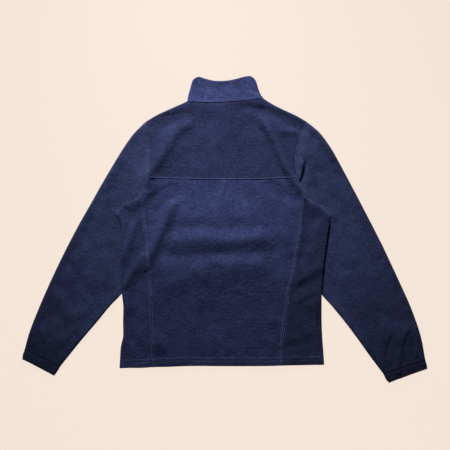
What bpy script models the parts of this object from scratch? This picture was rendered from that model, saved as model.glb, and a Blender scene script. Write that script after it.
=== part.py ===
"""Fleece zip jacket laid flat on its front, so that its back shows.

Metres, +Z up, +Y towards the collar. The origin is on the surface it lies on, under the
middle of its bounding box. The wearer's left arm is on the -X side. Every cloth piece is
a closed wall: outer points on one smooth flattened-garment shape, inner points set in by
the cloth's thickness, and rims along the seams.
"""

import math
from collections import namedtuple

import bmesh
import bpy
import numpy as np

MM = 0.001

# Driving dimensions, in metres.
CLOTH = 2.2 * MM                # thickness of the fleece wall
SEAM_GAP = 0.3 * MM             # clear gap between two pieces at a seam
LAYER_REST = 2.0 * MM           # space between the back layer and the front layer
SQUEEZED_REST = 0.8 * MM        # the same space where the body presses on a sleeve
FOLD_PUFF = 1.8 * MM            # extra height of the cloth along a folded edge
FOLD_PUFF_REACH = 22 * MM       # width over which that extra height fades
FOLD_RADIUS = 3.8 * MM          # plan radius of the round folded edges
UNDERLAP_GAP = 0.8 * MM         # clear space between a sleeve and the body lying on it
UNDERLAP_REACH = 9 * MM         # how far the body stays up beyond the sleeve's fold
UNDERLAP_FADE = 34 * MM         # width over which the body comes down again
PRESSED_REACH = 12 * MM         # how far a sleeve stays pressed beyond the body's side
PRESSED_FADE = 26 * MM          # width over which the sleeve swells again
INNER_RISE = 3.0 * MM           # how far the inner face follows a raised fold
GATHER_HEIGHT = 0.9 * MM        # ripple height of the elasticated cuffs
GATHERS_PER_SIDE = 8            # ripples across one side of a cuff
LEVEL = 2 * CLOTH + LAYER_REST  # height of the flat double layer
LIFT_HEIGHT = 2 * CLOTH + SQUEEZED_REST + UNDERLAP_GAP

# Zip, in metres.
ZIP_WINDOW = 11 * MM            # the front edges stand apart by this much
TAPE_WIDTH = 14 * MM
TAPE_THICK = 0.5 * MM
CHAIN_WIDTH = 5 * MM
CHAIN_THICK = 2.0 * MM
CHAIN_DROP = 1.3 * MM           # the chain's outer face lies this far below the tape
ZIP_HEM_INSET = 3 * MM          # the zip ends this far above the hem
ZIP_TOP_INSET = 5 * MM          # and this far below the top of the collar
TAPE_Z = CLOTH + SEAM_GAP       # height of the tape's lower face where the front lies flat
ZIP_LIFT = 3.8 * MM             # the zip's top is held up by its slider and tab
ZIP_LIFT_FLAT = 7 * MM          # half the width that is held up in full
ZIP_LIFT_FADE = 50 * MM         # width over which the front comes down beside it
ZIP_LIFT_START = 170 * MM       # the lift begins at this height above the origin
ZIP_LIFT_RUN = 135 * MM         # and is complete this far above that
SLIDER_ROOM = 0.2               # share of that lift by which the back layer rises more
SLIDER_Y = 340 * MM
SLIDER_LENGTH = 12 * MM
SLIDER_WIDTH = 9 * MM
PLATE_THICK = 0.7 * MM
PLATE_CLEAR = 0.25 * MM         # clear space between the upper plate and the tape
LOWER_PLATE_LOW = TAPE_Z + ZIP_LIFT - CHAIN_DROP - SEAM_GAP - PLATE_THICK
UPPER_PLATE_LOW = TAPE_Z + ZIP_LIFT + TAPE_THICK + PLATE_CLEAR
POST_WIDTH = 2.4 * MM
POST_SHARE = 0.6                # share of the slider's length that the post takes
POST_SHIFT = 0.1                # share of that length by which it sits towards the collar
BAIL_DROP = 2.6 * MM            # depth of the bail below the slider
BAIL_LENGTH = 6.4 * MM
BAIL_WIRE = 0.9 * MM
BAIL_WIDTH = 1.6 * MM
PIN_Z = LOWER_PLATE_LOW - 0.95 * MM
TAB_LENGTH = 27 * MM
TAB_WIDTH = 8 * MM
TAB_THICK = 1.0 * MM
TAB_CLEAR = 0.5 * MM            # the tab's free end hangs this far above the surface
TAB_CORNER = 2.2 * MM           # radius of the tab's corners at its free end
SLOT_WIDTH = 2.8 * MM
SLOT_LENGTH = 7.0 * MM

Point = namedtuple("Point", "x y")
Rise = namedtuple("Rise", "x1 y1 x2 y2 half_width height taper")
SleeveRow = namedtuple("SleeveRow", "outer_x outer_y inner_x inner_y")
Side = namedtuple("Side", "shoulder armhole yoke_end seam_top edge side_seam rows cuff")
Band = namedtuple("Band", "top full_top full_bottom bottom")

# Plan shapes in millimetres, one point for each change of direction.
LEFT = Side(
    shoulder=(Point(-97.2, 333.4), Point(-110, 327.3), Point(-145, 312), Point(-178, 296.4),
              Point(-204.5, 280.6)),
    armhole=(Point(-204.5, 280.6), Point(-200, 246), Point(-197.7, 194), Point(-196.7, 136.5),
             Point(-207.1, 109.2), Point(-222.4, 78.5), Point(-258.3, 62.4), Point(-277.3, 35.1)),
    yoke_end=Point(-196.7, 136.5),
    seam_top=Point(-222.4, 78.5),
    edge=(Point(-277.1, 35.1), Point(-276.4, 30), Point(-270.3, 9.1), Point(-266, -27.3),
          Point(-265.6, -74), Point(-267, -118), Point(-266.4, -162), Point(-262.3, -200),
          Point(-264.3, -242), Point(-264, -277), Point(-270, -305), Point(-271.6, -325),
          Point(-273.4, -360.6)),
    side_seam=(Point(-222.4, 78.5), Point(-218.3, 40), Point(-209, -27), Point(-201.6, -107),
               Point(-198, -175), Point(-194, -270), Point(-189.5, -358.5)),
    rows=(SleeveRow(-224.1, 262, -277.5, 35.1), SleeveRow(-239.8, 245, -278.2, 30),
          SleeveRow(-268.7, 203, -278.4, 24), SleeveRow(-297.7, 155, -278, 17),
          SleeveRow(-325.5, 107.5, -277, 9), SleeveRow(-350, 64, -274.5, -6),
          SleeveRow(-370, 29, -268.5, -33), SleeveRow(-386, 0, -254, -68),
          SleeveRow(-395, -17, -238, -100), SleeveRow(-411, -48, -263, -158.5),
          SleeveRow(-433.7, -94, -300.4, -200.2), SleeveRow(-457.8, -146, -334.5, -241.8),
          SleeveRow(-483.9, -206, -370.1, -283.4), SleeveRow(-507.7, -267, -403.9, -325),
          SleeveRow(-520.6, -313, -429, -356.5)),
    cuff=(SleeveRow(-524.8, -325, -435.5, -367), SleeveRow(-525.5, -335.7, -442.7, -376.2)),
)
RIGHT = Side(
    shoulder=(Point(99.7, 340.7), Point(119.7, 327.8), Point(150.2, 312), Point(184, 296.4),
              Point(211, 280.8)),
    armhole=(Point(211, 280.8), Point(196.7, 253.5), Point(187.6, 212), Point(191.8, 137.8),
             Point(201.6, 105.3), Point(208.1, 78), Point(246.1, 59.8), Point(274.2, 32.5)),
    yoke_end=Point(191.8, 137.8),
    seam_top=Point(208.1, 78),
    edge=(Point(274.0, 32.5), Point(273.2, 27.5), Point(269.0, -1.3), Point(263.5, -40.3),
          Point(257.3, -89.7), Point(252.6, -136.5), Point(251.3, -165), Point(250.8, -200.2),
          Point(251.3, -241.8), Point(253.1, -283.4), Point(256.2, -325), Point(257.8, -351.8)),
    side_seam=(Point(208.1, 78), Point(203, 43), Point(196, -27), Point(184, -100),
               Point(170, -161), Point(160, -235), Point(151.5, -310), Point(152.8, -354)),
    rows=(SleeveRow(231.9, 264, 274.4, 32.5), SleeveRow(246, 251, 275.2, 27.5),
          SleeveRow(273.4, 214, 275.6, 22), SleeveRow(300, 168, 275.4, 15),
          SleeveRow(327.3, 117, 274.7, 7), SleeveRow(350.5, 73, 272.5, -8),
          SleeveRow(371, 33.5, 266, -35), SleeveRow(385, 6.5, 250, -72),
          SleeveRow(394, -11.5, 229, -108), SleeveRow(408, -39, 248.5, -162.5),
          SleeveRow(429.8, -85, 280.2, -200.2), SleeveRow(456.7, -143, 314.2, -241.8),
          SleeveRow(483.8, -204, 345.4, -283.4), SleeveRow(509, -277, 379.5, -331),
          SleeveRow(519.6, -341, 413, -375.5)),
    cuff=(SleeveRow(524, -353.6, 419.5, -389), SleeveRow(525.5, -362.7, 427.6, -398.6)),
)
NECK_SEAM = (Point(-97.2, 333.4), Point(-56.8, 329.9), Point(0.4, 330.5), Point(52.4, 335.1),
             Point(99.7, 340.7))
NECK_FRONT_Y = 290              # lowest point of the front neckline
NECKLINE_BENDS = (              # share of the way to its end, and rise above that point
    (0.33, 4),
    (0.70, 19),
)
YOKE_SEAM = (Point(-196.7, 136.5), Point(-129.6, 132.9), Point(0.4, 130.3), Point(96.6, 132.9),
             Point(191.8, 137.8))
HEM = (Point(-273.4, -360.6), Point(-189.5, -358.5), Point(-153, -357), Point(-7.4, -355.7),
       Point(117.4, -354.9), Point(152.8, -354), Point(200.6, -353.1), Point(257.8, -351.8))
COLLAR_TOP = (Point(-83.0, 388), Point(-76.5, 394.8), Point(-67.5, 396.8), Point(-47.7, 391.3),
              Point(-26.9, 386.4), Point(-6.1, 385.8), Point(14.7, 387.9), Point(35.5, 393.1),
              Point(54, 398.2), Point(66, 398.8), Point(75.5, 393.5), Point(80.3, 386))
COLLAR_LEFT = (Point(-97.2, 333.4), Point(-94.5, 348.4), Point(-89.6, 366.6), Point(-83.0, 388))
COLLAR_RIGHT = (Point(99.7, 340.7), Point(92.7, 351), Point(86.5, 366.6), Point(80.3, 386))
COLLAR_FRONT_Y = 357            # top of the collar at the zip
UNDERLAP_BAND = Band(22, -18, -185, -250)       # where the sleeves hold the body up
PRESSED_BAND = Band(10, -20, -192, -212)        # where the body presses on the sleeves

# Where each fold turns over its edge at a seam's end: plan directions in degrees.
NECK_TURN = {-1: 140, 1: 44}
SHOULDER_TURN = {-1: 126, 1: 54}
UNDERARM_TURN = {-1: 264, 1: 276}
CUFF_OUTER_TURN = {-1: 164, 1: 9}
CUFF_INNER_TURN = {-1: 321, 1: 217}
SEAM_FAN = 10 * MM              # length of fold over which its direction changes to these
SHOULDER_FAN = 40 * MM          # the same along the top of a sleeve
UNDERARM_TURN_FAN = 5 * MM      # and at the underarm

# Folds of the body's back: from (x1, y1) to (x2, y2), in millimetres.
BODY_FOLDS = (
    Rise(-150, 44, 150, 46, 27, 1.6, 60),
    Rise(-136, -27, 176, -15, 28, 4.2, 55),
    Rise(-152, -92, 146, -89, 28, 2.9, 60),
    Rise(-80, -139, 70, -132, 26, 0.9, 50),
    Rise(-154, 73, -178, 10, 22, 2.8, 30),
    Rise(-178, 10, -194, -60, 20, 1.8, 30),
    Rise(-130, 80, -184, -70, 19, -2.2, 40),
    Rise(-243, 22, -260, -44, 15, 2.2, 20),
    Rise(-235, -50, -262, -105, 13, -1.6, 20),
    Rise(-227, -70, -252, -122, 13, 1.6, 20),
    Rise(-218, -88, -258, -150, 13, -2.0, 20),
    Rise(246, -118, 186, -160, 15, -2.4, 18),
    Rise(240, -147, 186, -186, 18, 2.2, 20),
    Rise(160, -300, 232, -285, 20, -1.4, 25),
    Rise(-92, 300, -190, 160, 26, 2.4, 40),
    Rise(98, 292, 180, 160, 26, 2.4, 40),
    Rise(2, 275, -5, 60, 7, 0.6, 30),
)
SLEEVE_FOLDS = (
    Rise(-236, 234, -203, 150, 16, -1.6, 30),
    Rise(-330, 105, -368, -40, 20, -1.8, 40),
    Rise(-372, -30, -398, -130, 24, 1.8, 40),
    Rise(-408, -85, -338, -184, 20, -1.6, 35),
    Rise(-474, -258, -466, -308, 12, -1.8, 20),
    Rise(372, -10, 416, -96, 22, -1.6, 40),
    Rise(480, -254, 455, -300, 10, -2.2, 16),
    Rise(455, -300, 452, -350, 9, -2.2, 14),
    Rise(436, -275, 420, -335, 12, -1.4, 20),
)
SEAM_FOLDS = (                  # folds that cross an armhole seam
    Rise(206, 172, 197, 126, 8, -1.5, 14),
)
DEEPEST_FOLD = 1.5 * MM         # a trough stays clear of the layer below
SEAM_CALM = 24 * MM             # the other folds fade out within this of an armhole

# Number of steps in each direction of the walls.
ARC_STEPS = 2                   # from the top of a folded edge to its middle height
SHOULDER_STEPS = 4
NECK_STEPS = 8
ARM_STEPS = (5, 2, 3)           # armhole: shoulder to yoke, to side seam, to underarm
SIDE_STEPS = 20                 # down the side seams
FRONT_STEPS = 5                 # across one front, and along half the front neckline
SLEEVE_STEPS = 20
UNDERARM_FAN = 0.4              # an extra sleeve section, as a share of the first row's way
CUFF_STEPS = 2
CUFF_POINTS_PER_GATHER = 4
COLLAR_STEPS = 5
ZIP_STEPS = 30
SLEEVE_HEAD = 0.26              # share of the sleeve over which the armhole's curve fades
FAN_SHARES = (0.005, 0.0125)    # closer sections where the folds turn at the underarm

NAVY = (0.020, 0.022, 0.062, 1.0)
NAVY_DARK = (0.014, 0.016, 0.045, 1.0)
ZIP_METAL = (0.05, 0.05, 0.06, 1.0)


# ---------------------------------------------------------------- curves and shapes

def metres(points):
    """Plan points in metres as an array."""
    return np.array([(p[0], p[1]) for p in points], dtype=float) * MM


def direction(degrees):
    """Unit plan direction."""
    return np.array([math.cos(math.radians(degrees)), math.sin(math.radians(degrees))])


def smooth(value):
    """Soft step from 0 to 1."""
    limited = np.clip(value, 0.0, 1.0)
    return limited * limited * (3.0 - 2.0 * limited)


def band(y, limits):
    """1 between the two middle heights of a band, fading to 0 at its ends."""
    from_top = (limits.top * MM - y) / ((limits.top - limits.full_top) * MM)
    from_bottom = (y - limits.bottom * MM) / ((limits.full_bottom - limits.bottom) * MM)
    return smooth(from_top) * smooth(from_bottom)


class Curve:
    """A smooth plan curve through given points, read by its share of the length."""

    SAMPLES = 24

    def __init__(self, points):
        pts = np.asarray(points, dtype=float)
        if len(pts) == 2:
            dense = pts
        else:
            before = 2 * pts[0] - pts[1]
            after = 2 * pts[-1] - pts[-2]
            knots = np.vstack([before, pts, after])
            dense = [pts[0]]
            for i in range(1, len(knots) - 2):
                dense.extend(self._span(knots[i - 1:i + 3]))
            dense = np.array(dense)
        step = np.linalg.norm(np.diff(dense, axis=0), axis=1)
        self.dense = dense
        self.share = np.concatenate([[0.0], np.cumsum(step)])
        self.length = self.share[-1]
        self.share = self.share / self.length

    def _span(self, knots):
        """Centripetal Catmull-Rom points between the two middle knots."""
        t = [0.0]
        for a, b in zip(knots[:-1], knots[1:]):
            t.append(t[-1] + max(np.linalg.norm(b - a), 1e-9) ** 0.5)
        out = []
        for k in range(1, self.SAMPLES + 1):
            u = t[1] + (t[2] - t[1]) * k / self.SAMPLES
            a1 = (t[1] - u) / (t[1] - t[0]) * knots[0] + (u - t[0]) / (t[1] - t[0]) * knots[1]
            a2 = (t[2] - u) / (t[2] - t[1]) * knots[1] + (u - t[1]) / (t[2] - t[1]) * knots[2]
            a3 = (t[3] - u) / (t[3] - t[2]) * knots[2] + (u - t[2]) / (t[3] - t[2]) * knots[3]
            b1 = (t[2] - u) / (t[2] - t[0]) * a1 + (u - t[0]) / (t[2] - t[0]) * a2
            b2 = (t[3] - u) / (t[3] - t[1]) * a2 + (u - t[1]) / (t[3] - t[1]) * a3
            out.append((t[2] - u) / (t[2] - t[1]) * b1 + (u - t[1]) / (t[2] - t[1]) * b2)
        return out

    def at(self, share):
        share = np.asarray(share, dtype=float)
        return np.stack([np.interp(share, self.share, self.dense[:, k]) for k in (0, 1)], -1)

    def nearest(self, point):
        """Share of the length at which the curve passes closest to a point."""
        distance = np.linalg.norm(self.dense - np.asarray(point), axis=1)
        return self.share[int(np.argmin(distance))]


def plan_distance(x, y, curves):
    """Shortest plan distance from each point to a set of curves."""
    best = np.full(np.shape(x), 1e9)
    for curve in curves:
        a, b = curve.dense[:-1], curve.dense[1:]
        for (ax, ay), (bx, by) in zip(a[::4], np.vstack([b[3::4], b[-1:]])):
            dx, dy = bx - ax, by - ay
            run = max(dx * dx + dy * dy, 1e-18)
            t = np.clip(((x - ax) * dx + (y - ay) * dy) / run, 0, 1)
            best = np.minimum(best, np.hypot(x - ax - t * dx, y - ay - t * dy))
    return best


def fold_height(x, y, folds):
    """Sum of the soft ridges and troughs at plan points."""
    total = np.zeros(np.shape(x))
    for fold in folds:
        x1, y1, x2, y2 = (v * MM for v in fold[:4])
        run = math.hypot(x2 - x1, y2 - y1)
        ux, uy = (x2 - x1) / run, (y2 - y1) / run
        along = (x - x1) * ux + (y - y1) * uy
        across = np.abs((y - y1) * ux - (x - x1) * uy)
        taper = fold.taper * MM
        ends = smooth((along + taper / 2) / taper) * smooth((run - along + taper / 2) / taper)
        shape = 1 - smooth(across / (fold.half_width * MM))
        total = total + fold.height * MM * ends * shape
    return total


# ---------------------------------------------------------------- the flattened garment

class Garment:
    """Plan curves of the jacket, and the heights of its layers."""

    def __init__(self):
        self.sides = {}
        for sign, side in ((-1, LEFT), (1, RIGHT)):
            cuff = (side.rows[-1], *side.cuff)
            self.sides[sign] = {
                "shoulder": Curve(metres(side.shoulder)),
                "armhole": Curve(metres(side.armhole)),
                "edge": Curve(metres(side.edge)),
                "seam": Curve(metres(side.side_seam)),
                "sleeve_outer": Curve(metres([side.armhole[0]]
                                             + [(r.outer_x, r.outer_y) for r in side.rows])),
                "sleeve_inner": Curve(metres([(r.inner_x, r.inner_y) for r in side.rows])),
                "cuff_outer": Curve(metres([(r.outer_x, r.outer_y) for r in cuff])),
                "cuff_inner": Curve(metres([(r.inner_x, r.inner_y) for r in cuff])),
                "rows": side.rows,
                "yoke_end": np.array(side.yoke_end) * MM,
                "seam_top": np.array(side.seam_top) * MM,
            }
        self.neck = Curve(metres(NECK_SEAM))
        self.yoke_seam = Curve(metres(YOKE_SEAM))
        self.hem = Curve(metres(HEM))
        self.collar_top = Curve(metres(COLLAR_TOP))
        self.collar_edges = {-1: Curve(metres(COLLAR_LEFT)), 1: Curve(metres(COLLAR_RIGHT))}
        self.armholes = [s["armhole"] for s in self.sides.values()]
        self.body_edges = [s[k] for s in self.sides.values() for k in ("shoulder", "edge")]
        self.body_edges += list(self.collar_edges.values())
        self.body_edges += [s["sleeve_outer"] for s in self.sides.values()]

    def underlap(self, x, y):
        """How far the body is held up by the sleeves that lie under its sides."""
        total = np.zeros(np.shape(x))
        for sign, side in self.sides.items():
            edge_x = np.interp(-y, -side["edge"].dense[:, 1], side["edge"].dense[:, 0])
            tip_x = np.interp(-y, -side["sleeve_inner"].dense[:, 1],
                              side["sleeve_inner"].dense[:, 0])
            reach = np.maximum(sign * (edge_x - tip_x), 0.0) + UNDERLAP_REACH
            inboard = sign * (edge_x - x)
            across = 1 - smooth((inboard - reach) / UNDERLAP_FADE)
            along = band(y, UNDERLAP_BAND)
            total = total + LIFT_HEIGHT * across * along * (sign * x > 0)
        return total

    def zip_lift(self, x, y):
        """How far the top of the zip is held up by its slider and pull tab."""
        across = 1 - smooth((np.abs(x) - ZIP_LIFT_FLAT) / ZIP_LIFT_FADE)
        along = smooth((y - ZIP_LIFT_START) / ZIP_LIFT_RUN)
        return ZIP_LIFT * across * along

    def bottom(self, x, y, layer):
        """Height of the outer face of the layer that lies on the surface."""
        if layer == "sleeve":
            return np.zeros(np.shape(x))
        return self.underlap(x, y) + self.zip_lift(x, y)

    def top(self, x, y, layer):
        """Height of the outer face of the layer that shows."""
        if layer == "sleeve":
            level = self.sleeve_level(x, y)
        else:
            level = LEVEL + self.underlap(x, y) + (1 + SLIDER_ROOM) * self.zip_lift(x, y)
        return level + self.folds(x, y, layer) + self.puff(x, y, layer)

    def folds(self, x, y, layer):
        """Ridges and troughs, calm along the armholes where two pieces meet."""
        own = fold_height(x, y, BODY_FOLDS if layer == "body" else SLEEVE_FOLDS)
        calm = smooth(plan_distance(x, y, self.armholes) / SEAM_CALM)
        total = own * calm + fold_height(x, y, SEAM_FOLDS)
        return np.maximum(total, -DEEPEST_FOLD)

    def sleeve_level(self, x, y):
        """The sleeve's double layer, pressed thinner under the body's side."""
        sign = np.where(x < 0, -1, 1)
        pressed = np.zeros(np.shape(x))
        for s, side in self.sides.items():
            edge_x = np.interp(-y, -side["edge"].dense[:, 1], side["edge"].dense[:, 0])
            beyond = s * (x - edge_x)
            near = 1 - smooth((beyond - PRESSED_REACH) / PRESSED_FADE)
            pressed = np.where(sign == s, near * band(y, PRESSED_BAND), pressed)
        return LEVEL - (LAYER_REST - SQUEEZED_REST) * pressed

    def puff(self, x, y, layer):
        """Extra height along the folded edges."""
        if layer == "sleeve":
            edges = [s[k] for s in self.sides.values()
                     for k in ("sleeve_outer", "sleeve_inner", "shoulder")]
            edges += [s[k] for s in self.sides.values() for k in ("cuff_outer", "cuff_inner")]
            level = (self.sleeve_level(x, y) - (LEVEL - LAYER_REST + SQUEEZED_REST))
            keep = np.clip(level / (LAYER_REST - SQUEEZED_REST), 0, 1)
        else:
            edges = self.body_edges
            keep = 1.0
        distance = plan_distance(x, y, edges)
        return FOLD_PUFF * keep * (1 - smooth((distance - FOLD_RADIUS) / FOLD_PUFF_REACH))

    def extra(self, x, y, layer):
        """How much the folds rise beyond what the inner face follows."""
        return np.maximum(self.folds(x, y, layer) - INNER_RISE, 0.0)


GARMENT = Garment()
SLOPE_STEP = 0.5 * MM


def top_points(plan, layer):
    """Outer points and normals of the layer that shows, over plan points."""
    x, y = plan[..., 0], plan[..., 1]
    z = GARMENT.top(x, y, layer)
    dzdx = (GARMENT.top(x + SLOPE_STEP, y, layer) - z) / SLOPE_STEP
    dzdy = (GARMENT.top(x, y + SLOPE_STEP, layer) - z) / SLOPE_STEP
    normals = np.stack([-dzdx, -dzdy, np.ones_like(z)], -1)
    normals /= np.linalg.norm(normals, axis=-1, keepdims=True)
    return np.concatenate([plan, z[..., None]], -1), normals


def bottom_points(plan, layer):
    """Outer points and normals of the layer that lies on the surface."""
    x, y = plan[..., 0], plan[..., 1]
    z = GARMENT.bottom(x, y, layer)
    dzdx = (GARMENT.bottom(x + SLOPE_STEP, y, layer) - z) / SLOPE_STEP
    dzdy = (GARMENT.bottom(x, y + SLOPE_STEP, layer) - z) / SLOPE_STEP
    normals = np.stack([dzdx, dzdy, -np.ones_like(z)], -1)
    normals /= np.linalg.norm(normals, axis=-1, keepdims=True)
    return np.concatenate([plan, z[..., None]], -1), normals


def fold_radius(edge, turn, layer):
    """Half the height of the folded edge, which is its plan radius where that is less."""
    radius = np.full(edge.shape[:-1], FOLD_RADIUS)
    for _ in range(2):
        inner = edge - radius[..., None] * turn
        high = GARMENT.top(inner[..., 0], inner[..., 1], layer)
        low = GARMENT.bottom(inner[..., 0], inner[..., 1], layer)
        radius = np.minimum(FOLD_RADIUS, (high - low) / 2)
    return radius, (high - low) / 2, (high + low) / 2


def arc_points(edge, turn, angles, layer):
    """Points round a folded edge, one column for each angle (90 on top, -90 below)."""
    radius, half, middle = fold_radius(edge, turn, layer)
    cosine, sine = np.cos(np.radians(angles)), np.sin(np.radians(angles))
    out = edge[:, None, :] + (radius[:, None] * (cosine[None, :] - 1))[..., None] * turn[:, None, :]
    z = middle[:, None] + half[:, None] * sine[None, :]
    points = np.concatenate([out, z[..., None]], -1)
    side = (cosine[None, :] / radius[:, None])[..., None] * turn[:, None, :]
    up = (sine[None, :] / half[:, None])[..., None]
    normals = np.concatenate([side, up], -1)
    normals /= np.linalg.norm(normals, axis=-1, keepdims=True)
    return points, normals


def inner_edge(edge, turn, layer):
    """Plan points where the flat part of a layer meets the round folded edge."""
    radius, _, _ = fold_radius(edge, turn, layer)
    return edge - radius[..., None] * turn


def outward(curve, shares, sign, first=None, last=None, fan=SEAM_FAN):
    """Plan directions that point away from the cloth along a folded edge."""
    step = 1e-3
    ahead = curve.at(np.clip(shares + step, 0, 1))
    behind = curve.at(np.clip(shares - step, 0, 1))
    tangent = ahead - behind
    turn = np.stack([-tangent[..., 1], tangent[..., 0]], -1) * sign
    turn /= np.linalg.norm(turn, axis=-1, keepdims=True)
    for given, distance in ((first, shares * curve.length), (last, (1 - shares) * curve.length)):
        if given is not None:
            weight = (1 - smooth(distance / fan))[..., None]
            turn = turn * (1 - weight) + direction(given) * weight
            turn /= np.linalg.norm(turn, axis=-1, keepdims=True)
    return turn


# ---------------------------------------------------------------- meshes

class Wall:
    """Gathers blocks of outer points and closes them into one wall."""

    WELD = 5e-6

    def __init__(self, layer):
        self.layer = layer
        self.points = []
        self.normals = []
        self.faces = []
        self.index = {}

    def add(self, points, normals):
        """Adds one grid block facing along its normals; shared points are welded."""
        rows, columns = points.shape[:2]
        ids = np.empty((rows, columns), dtype=int)
        for r in range(rows):
            for c in range(columns):
                ids[r, c] = self._point(points[r, c], normals[r, c])
        across = points[:-1, 1:] - points[:-1, :-1]
        up = points[1:, :-1] - points[:-1, :-1]
        facing = np.sum(np.cross(across, up) * normals[:-1, :-1])
        for r in range(rows - 1):
            for c in range(columns - 1):
                face = [ids[r, c], ids[r, c + 1], ids[r + 1, c + 1], ids[r + 1, c]]
                face = list(dict.fromkeys(face))
                if len(face) > 2:
                    self.faces.append(face if facing > 0 else face[::-1])

    def _point(self, point, normal):
        key = tuple(np.round(point / self.WELD).astype(int))
        if key not in self.index:
            self.index[key] = len(self.points)
            self.points.append(point)
            self.normals.append(normal)
        return self.index[key]

    def _seam_edges(self):
        """Directed edges that only one face uses."""
        used = {(a, b) for face in self.faces for a, b in zip(face, face[1:] + face[:1])}
        return sorted((a, b) for a, b in used if (b, a) not in used)

    def _draw_in(self, outer, normals, edges):
        """Moves each rim in, along the cloth, by half the seam gap."""
        inward = {}
        for a, b in edges:
            run = outer[b] - outer[a]
            for end in (a, b):
                direction = np.cross(normals[end], run)
                length = np.linalg.norm(direction)
                if length > 1e-12:
                    inward.setdefault(end, []).append(direction / length)
        for end, directions in inward.items():
            mean = np.mean(directions, axis=0)
            outer[end] += mean * SEAM_GAP / 2 / max(mean @ mean, 0.35)

    def build(self, name, material, thickness=CLOTH):
        """Makes the closed wall as an object."""
        outer = np.array(self.points)
        normals = np.array(self.normals)
        edges = self._seam_edges()
        self._draw_in(outer, normals, edges)
        inner = outer - thickness * normals
        inner[:, 2] -= GARMENT.extra(outer[:, 0], outer[:, 1], self.layer) * (normals[:, 2] > 0.5)
        count = len(outer)
        faces = [list(f) for f in self.faces]
        faces += [[i + count for i in reversed(f)] for f in self.faces]
        faces += [[b, a, a + count, b + count] for a, b in edges]
        return new_object(name, np.vstack([outer, inner]), faces, material)


def new_object(name, points, faces, material):
    """A mesh object in the jacket's collection, with its faces pointing out."""
    mesh = bpy.data.meshes.new(name)
    work = bmesh.new()
    verts = [work.verts.new(p) for p in points]
    for face in faces:
        work.faces.new([verts[int(i)] for i in face])
    bmesh.ops.recalc_face_normals(work, faces=work.faces)
    work.to_mesh(mesh)
    work.free()
    obj = bpy.data.objects.new(name, mesh)
    obj.data.materials.append(material)
    bpy.data.collections["fleece_zip_jacket"].objects.link(obj)
    mesh.shade_smooth()
    mesh.set_sharp_from_angle(angle=math.radians(50))
    return obj


def fleece(name, colour, roughness, metallic=0.0):
    material = bpy.data.materials.new(name)
    material.use_nodes = True
    shader = material.node_tree.nodes["Principled BSDF"]
    shader.inputs["Base Color"].default_value = colour
    shader.inputs["Roughness"].default_value = roughness
    shader.inputs["Metallic"].default_value = metallic
    material.diffuse_color = colour
    return material


# ---------------------------------------------------------------- cloth pieces

TOP_TO_MIDDLE = np.linspace(90, 0, ARC_STEPS + 1)
MIDDLE_TO_BOTTOM = np.linspace(0, -90, ARC_STEPS + 1)
TOP_TO_BOTTOM = np.linspace(90, -90, 2 * ARC_STEPS + 1)


def fan_stations(steps):
    """Shares along a fold that starts at the underarm."""
    return np.concatenate([[0.0], FAN_SHARES, np.linspace(FAN_SHARES[-1], 1, steps + 1)[1:]])


def armhole_stations(sign):
    """Shares along an armhole for its three stretches."""
    side = GARMENT.sides[sign]
    yoke = side["armhole"].nearest(side["yoke_end"])
    seam = side["armhole"].nearest(side["seam_top"])
    return (np.linspace(0, yoke, ARM_STEPS[0] + 1), np.linspace(yoke, seam, ARM_STEPS[1] + 1),
            np.linspace(seam, 1, ARM_STEPS[2] + 1))


def armhole_line(sign, layer):
    """Plan points of the armhole between the two folds it crosses, for one layer."""
    side = GARMENT.sides[sign]
    first, second, third = armhole_stations(sign)
    line = side["armhole"].at(np.concatenate([first, second[1:], third[1:]]))
    shoulder = side["shoulder"].at([1.0])
    under = side["edge" if layer == "body" else "sleeve_inner"].at([0.0])
    line[0] = inner_edge(shoulder, direction(SHOULDER_TURN[sign])[None], layer)[0]
    line[-1] = inner_edge(under, direction(UNDERARM_TURN[sign])[None], layer)[0]
    return line


def shoulder_arcs(sign, angles):
    """Points round the shoulder fold, from the neck to the armhole."""
    curve = GARMENT.sides[sign]["shoulder"]
    shares = np.linspace(0, 1, SHOULDER_STEPS + 1)
    turn = outward(curve, shares, sign, NECK_TURN[sign], SHOULDER_TURN[sign])
    edge = curve.at(shares)
    points, normals = arc_points(edge, turn, angles, "body")
    return inner_edge(edge, turn, "body"), points, normals


def neck_line():
    """Plan points of the neck seam between the two collar folds."""
    line = GARMENT.neck.at(np.linspace(0, 1, NECK_STEPS + 1))
    for index, sign in ((0, -1), (-1, 1)):
        edge = GARMENT.neck.at([0.0 if sign < 0 else 1.0])
        line[index] = inner_edge(edge, direction(NECK_TURN[sign])[None], "body")[0]
    return line


def back_columns():
    """Shares across the yoke seam, with columns that meet the neck's ends."""
    lengths = [GARMENT.sides[-1]["shoulder"].length, GARMENT.neck.length,
               GARMENT.sides[1]["shoulder"].length]
    marks = np.cumsum([0.0] + lengths) / sum(lengths)
    return np.concatenate([np.linspace(marks[0], marks[1], SHOULDER_STEPS + 1),
                           np.linspace(marks[1], marks[2], NECK_STEPS + 1)[1:],
                           np.linspace(marks[2], marks[3], SHOULDER_STEPS + 1)[1:]])


def plan_grid(bottom, top, left, right, u, v):
    """Plan grid between four boundaries whose points lie at the shares u and v."""
    u, v = u[None, :, None], v[:, None, None]
    ruled = (1 - v) * bottom[None] + v * top[None] + (1 - u) * left[:, None] + u * right[:, None]
    corners = ((1 - u) * (1 - v) * bottom[0] + u * (1 - v) * bottom[-1]
               + (1 - u) * v * top[0] + u * v * top[-1])
    return ruled - corners


def shares_of(line):
    """Share of the length at each point of a plan line."""
    run = np.concatenate([[0.0], np.cumsum(np.linalg.norm(np.diff(line, axis=0), axis=1))])
    return run / run[-1]


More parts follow.
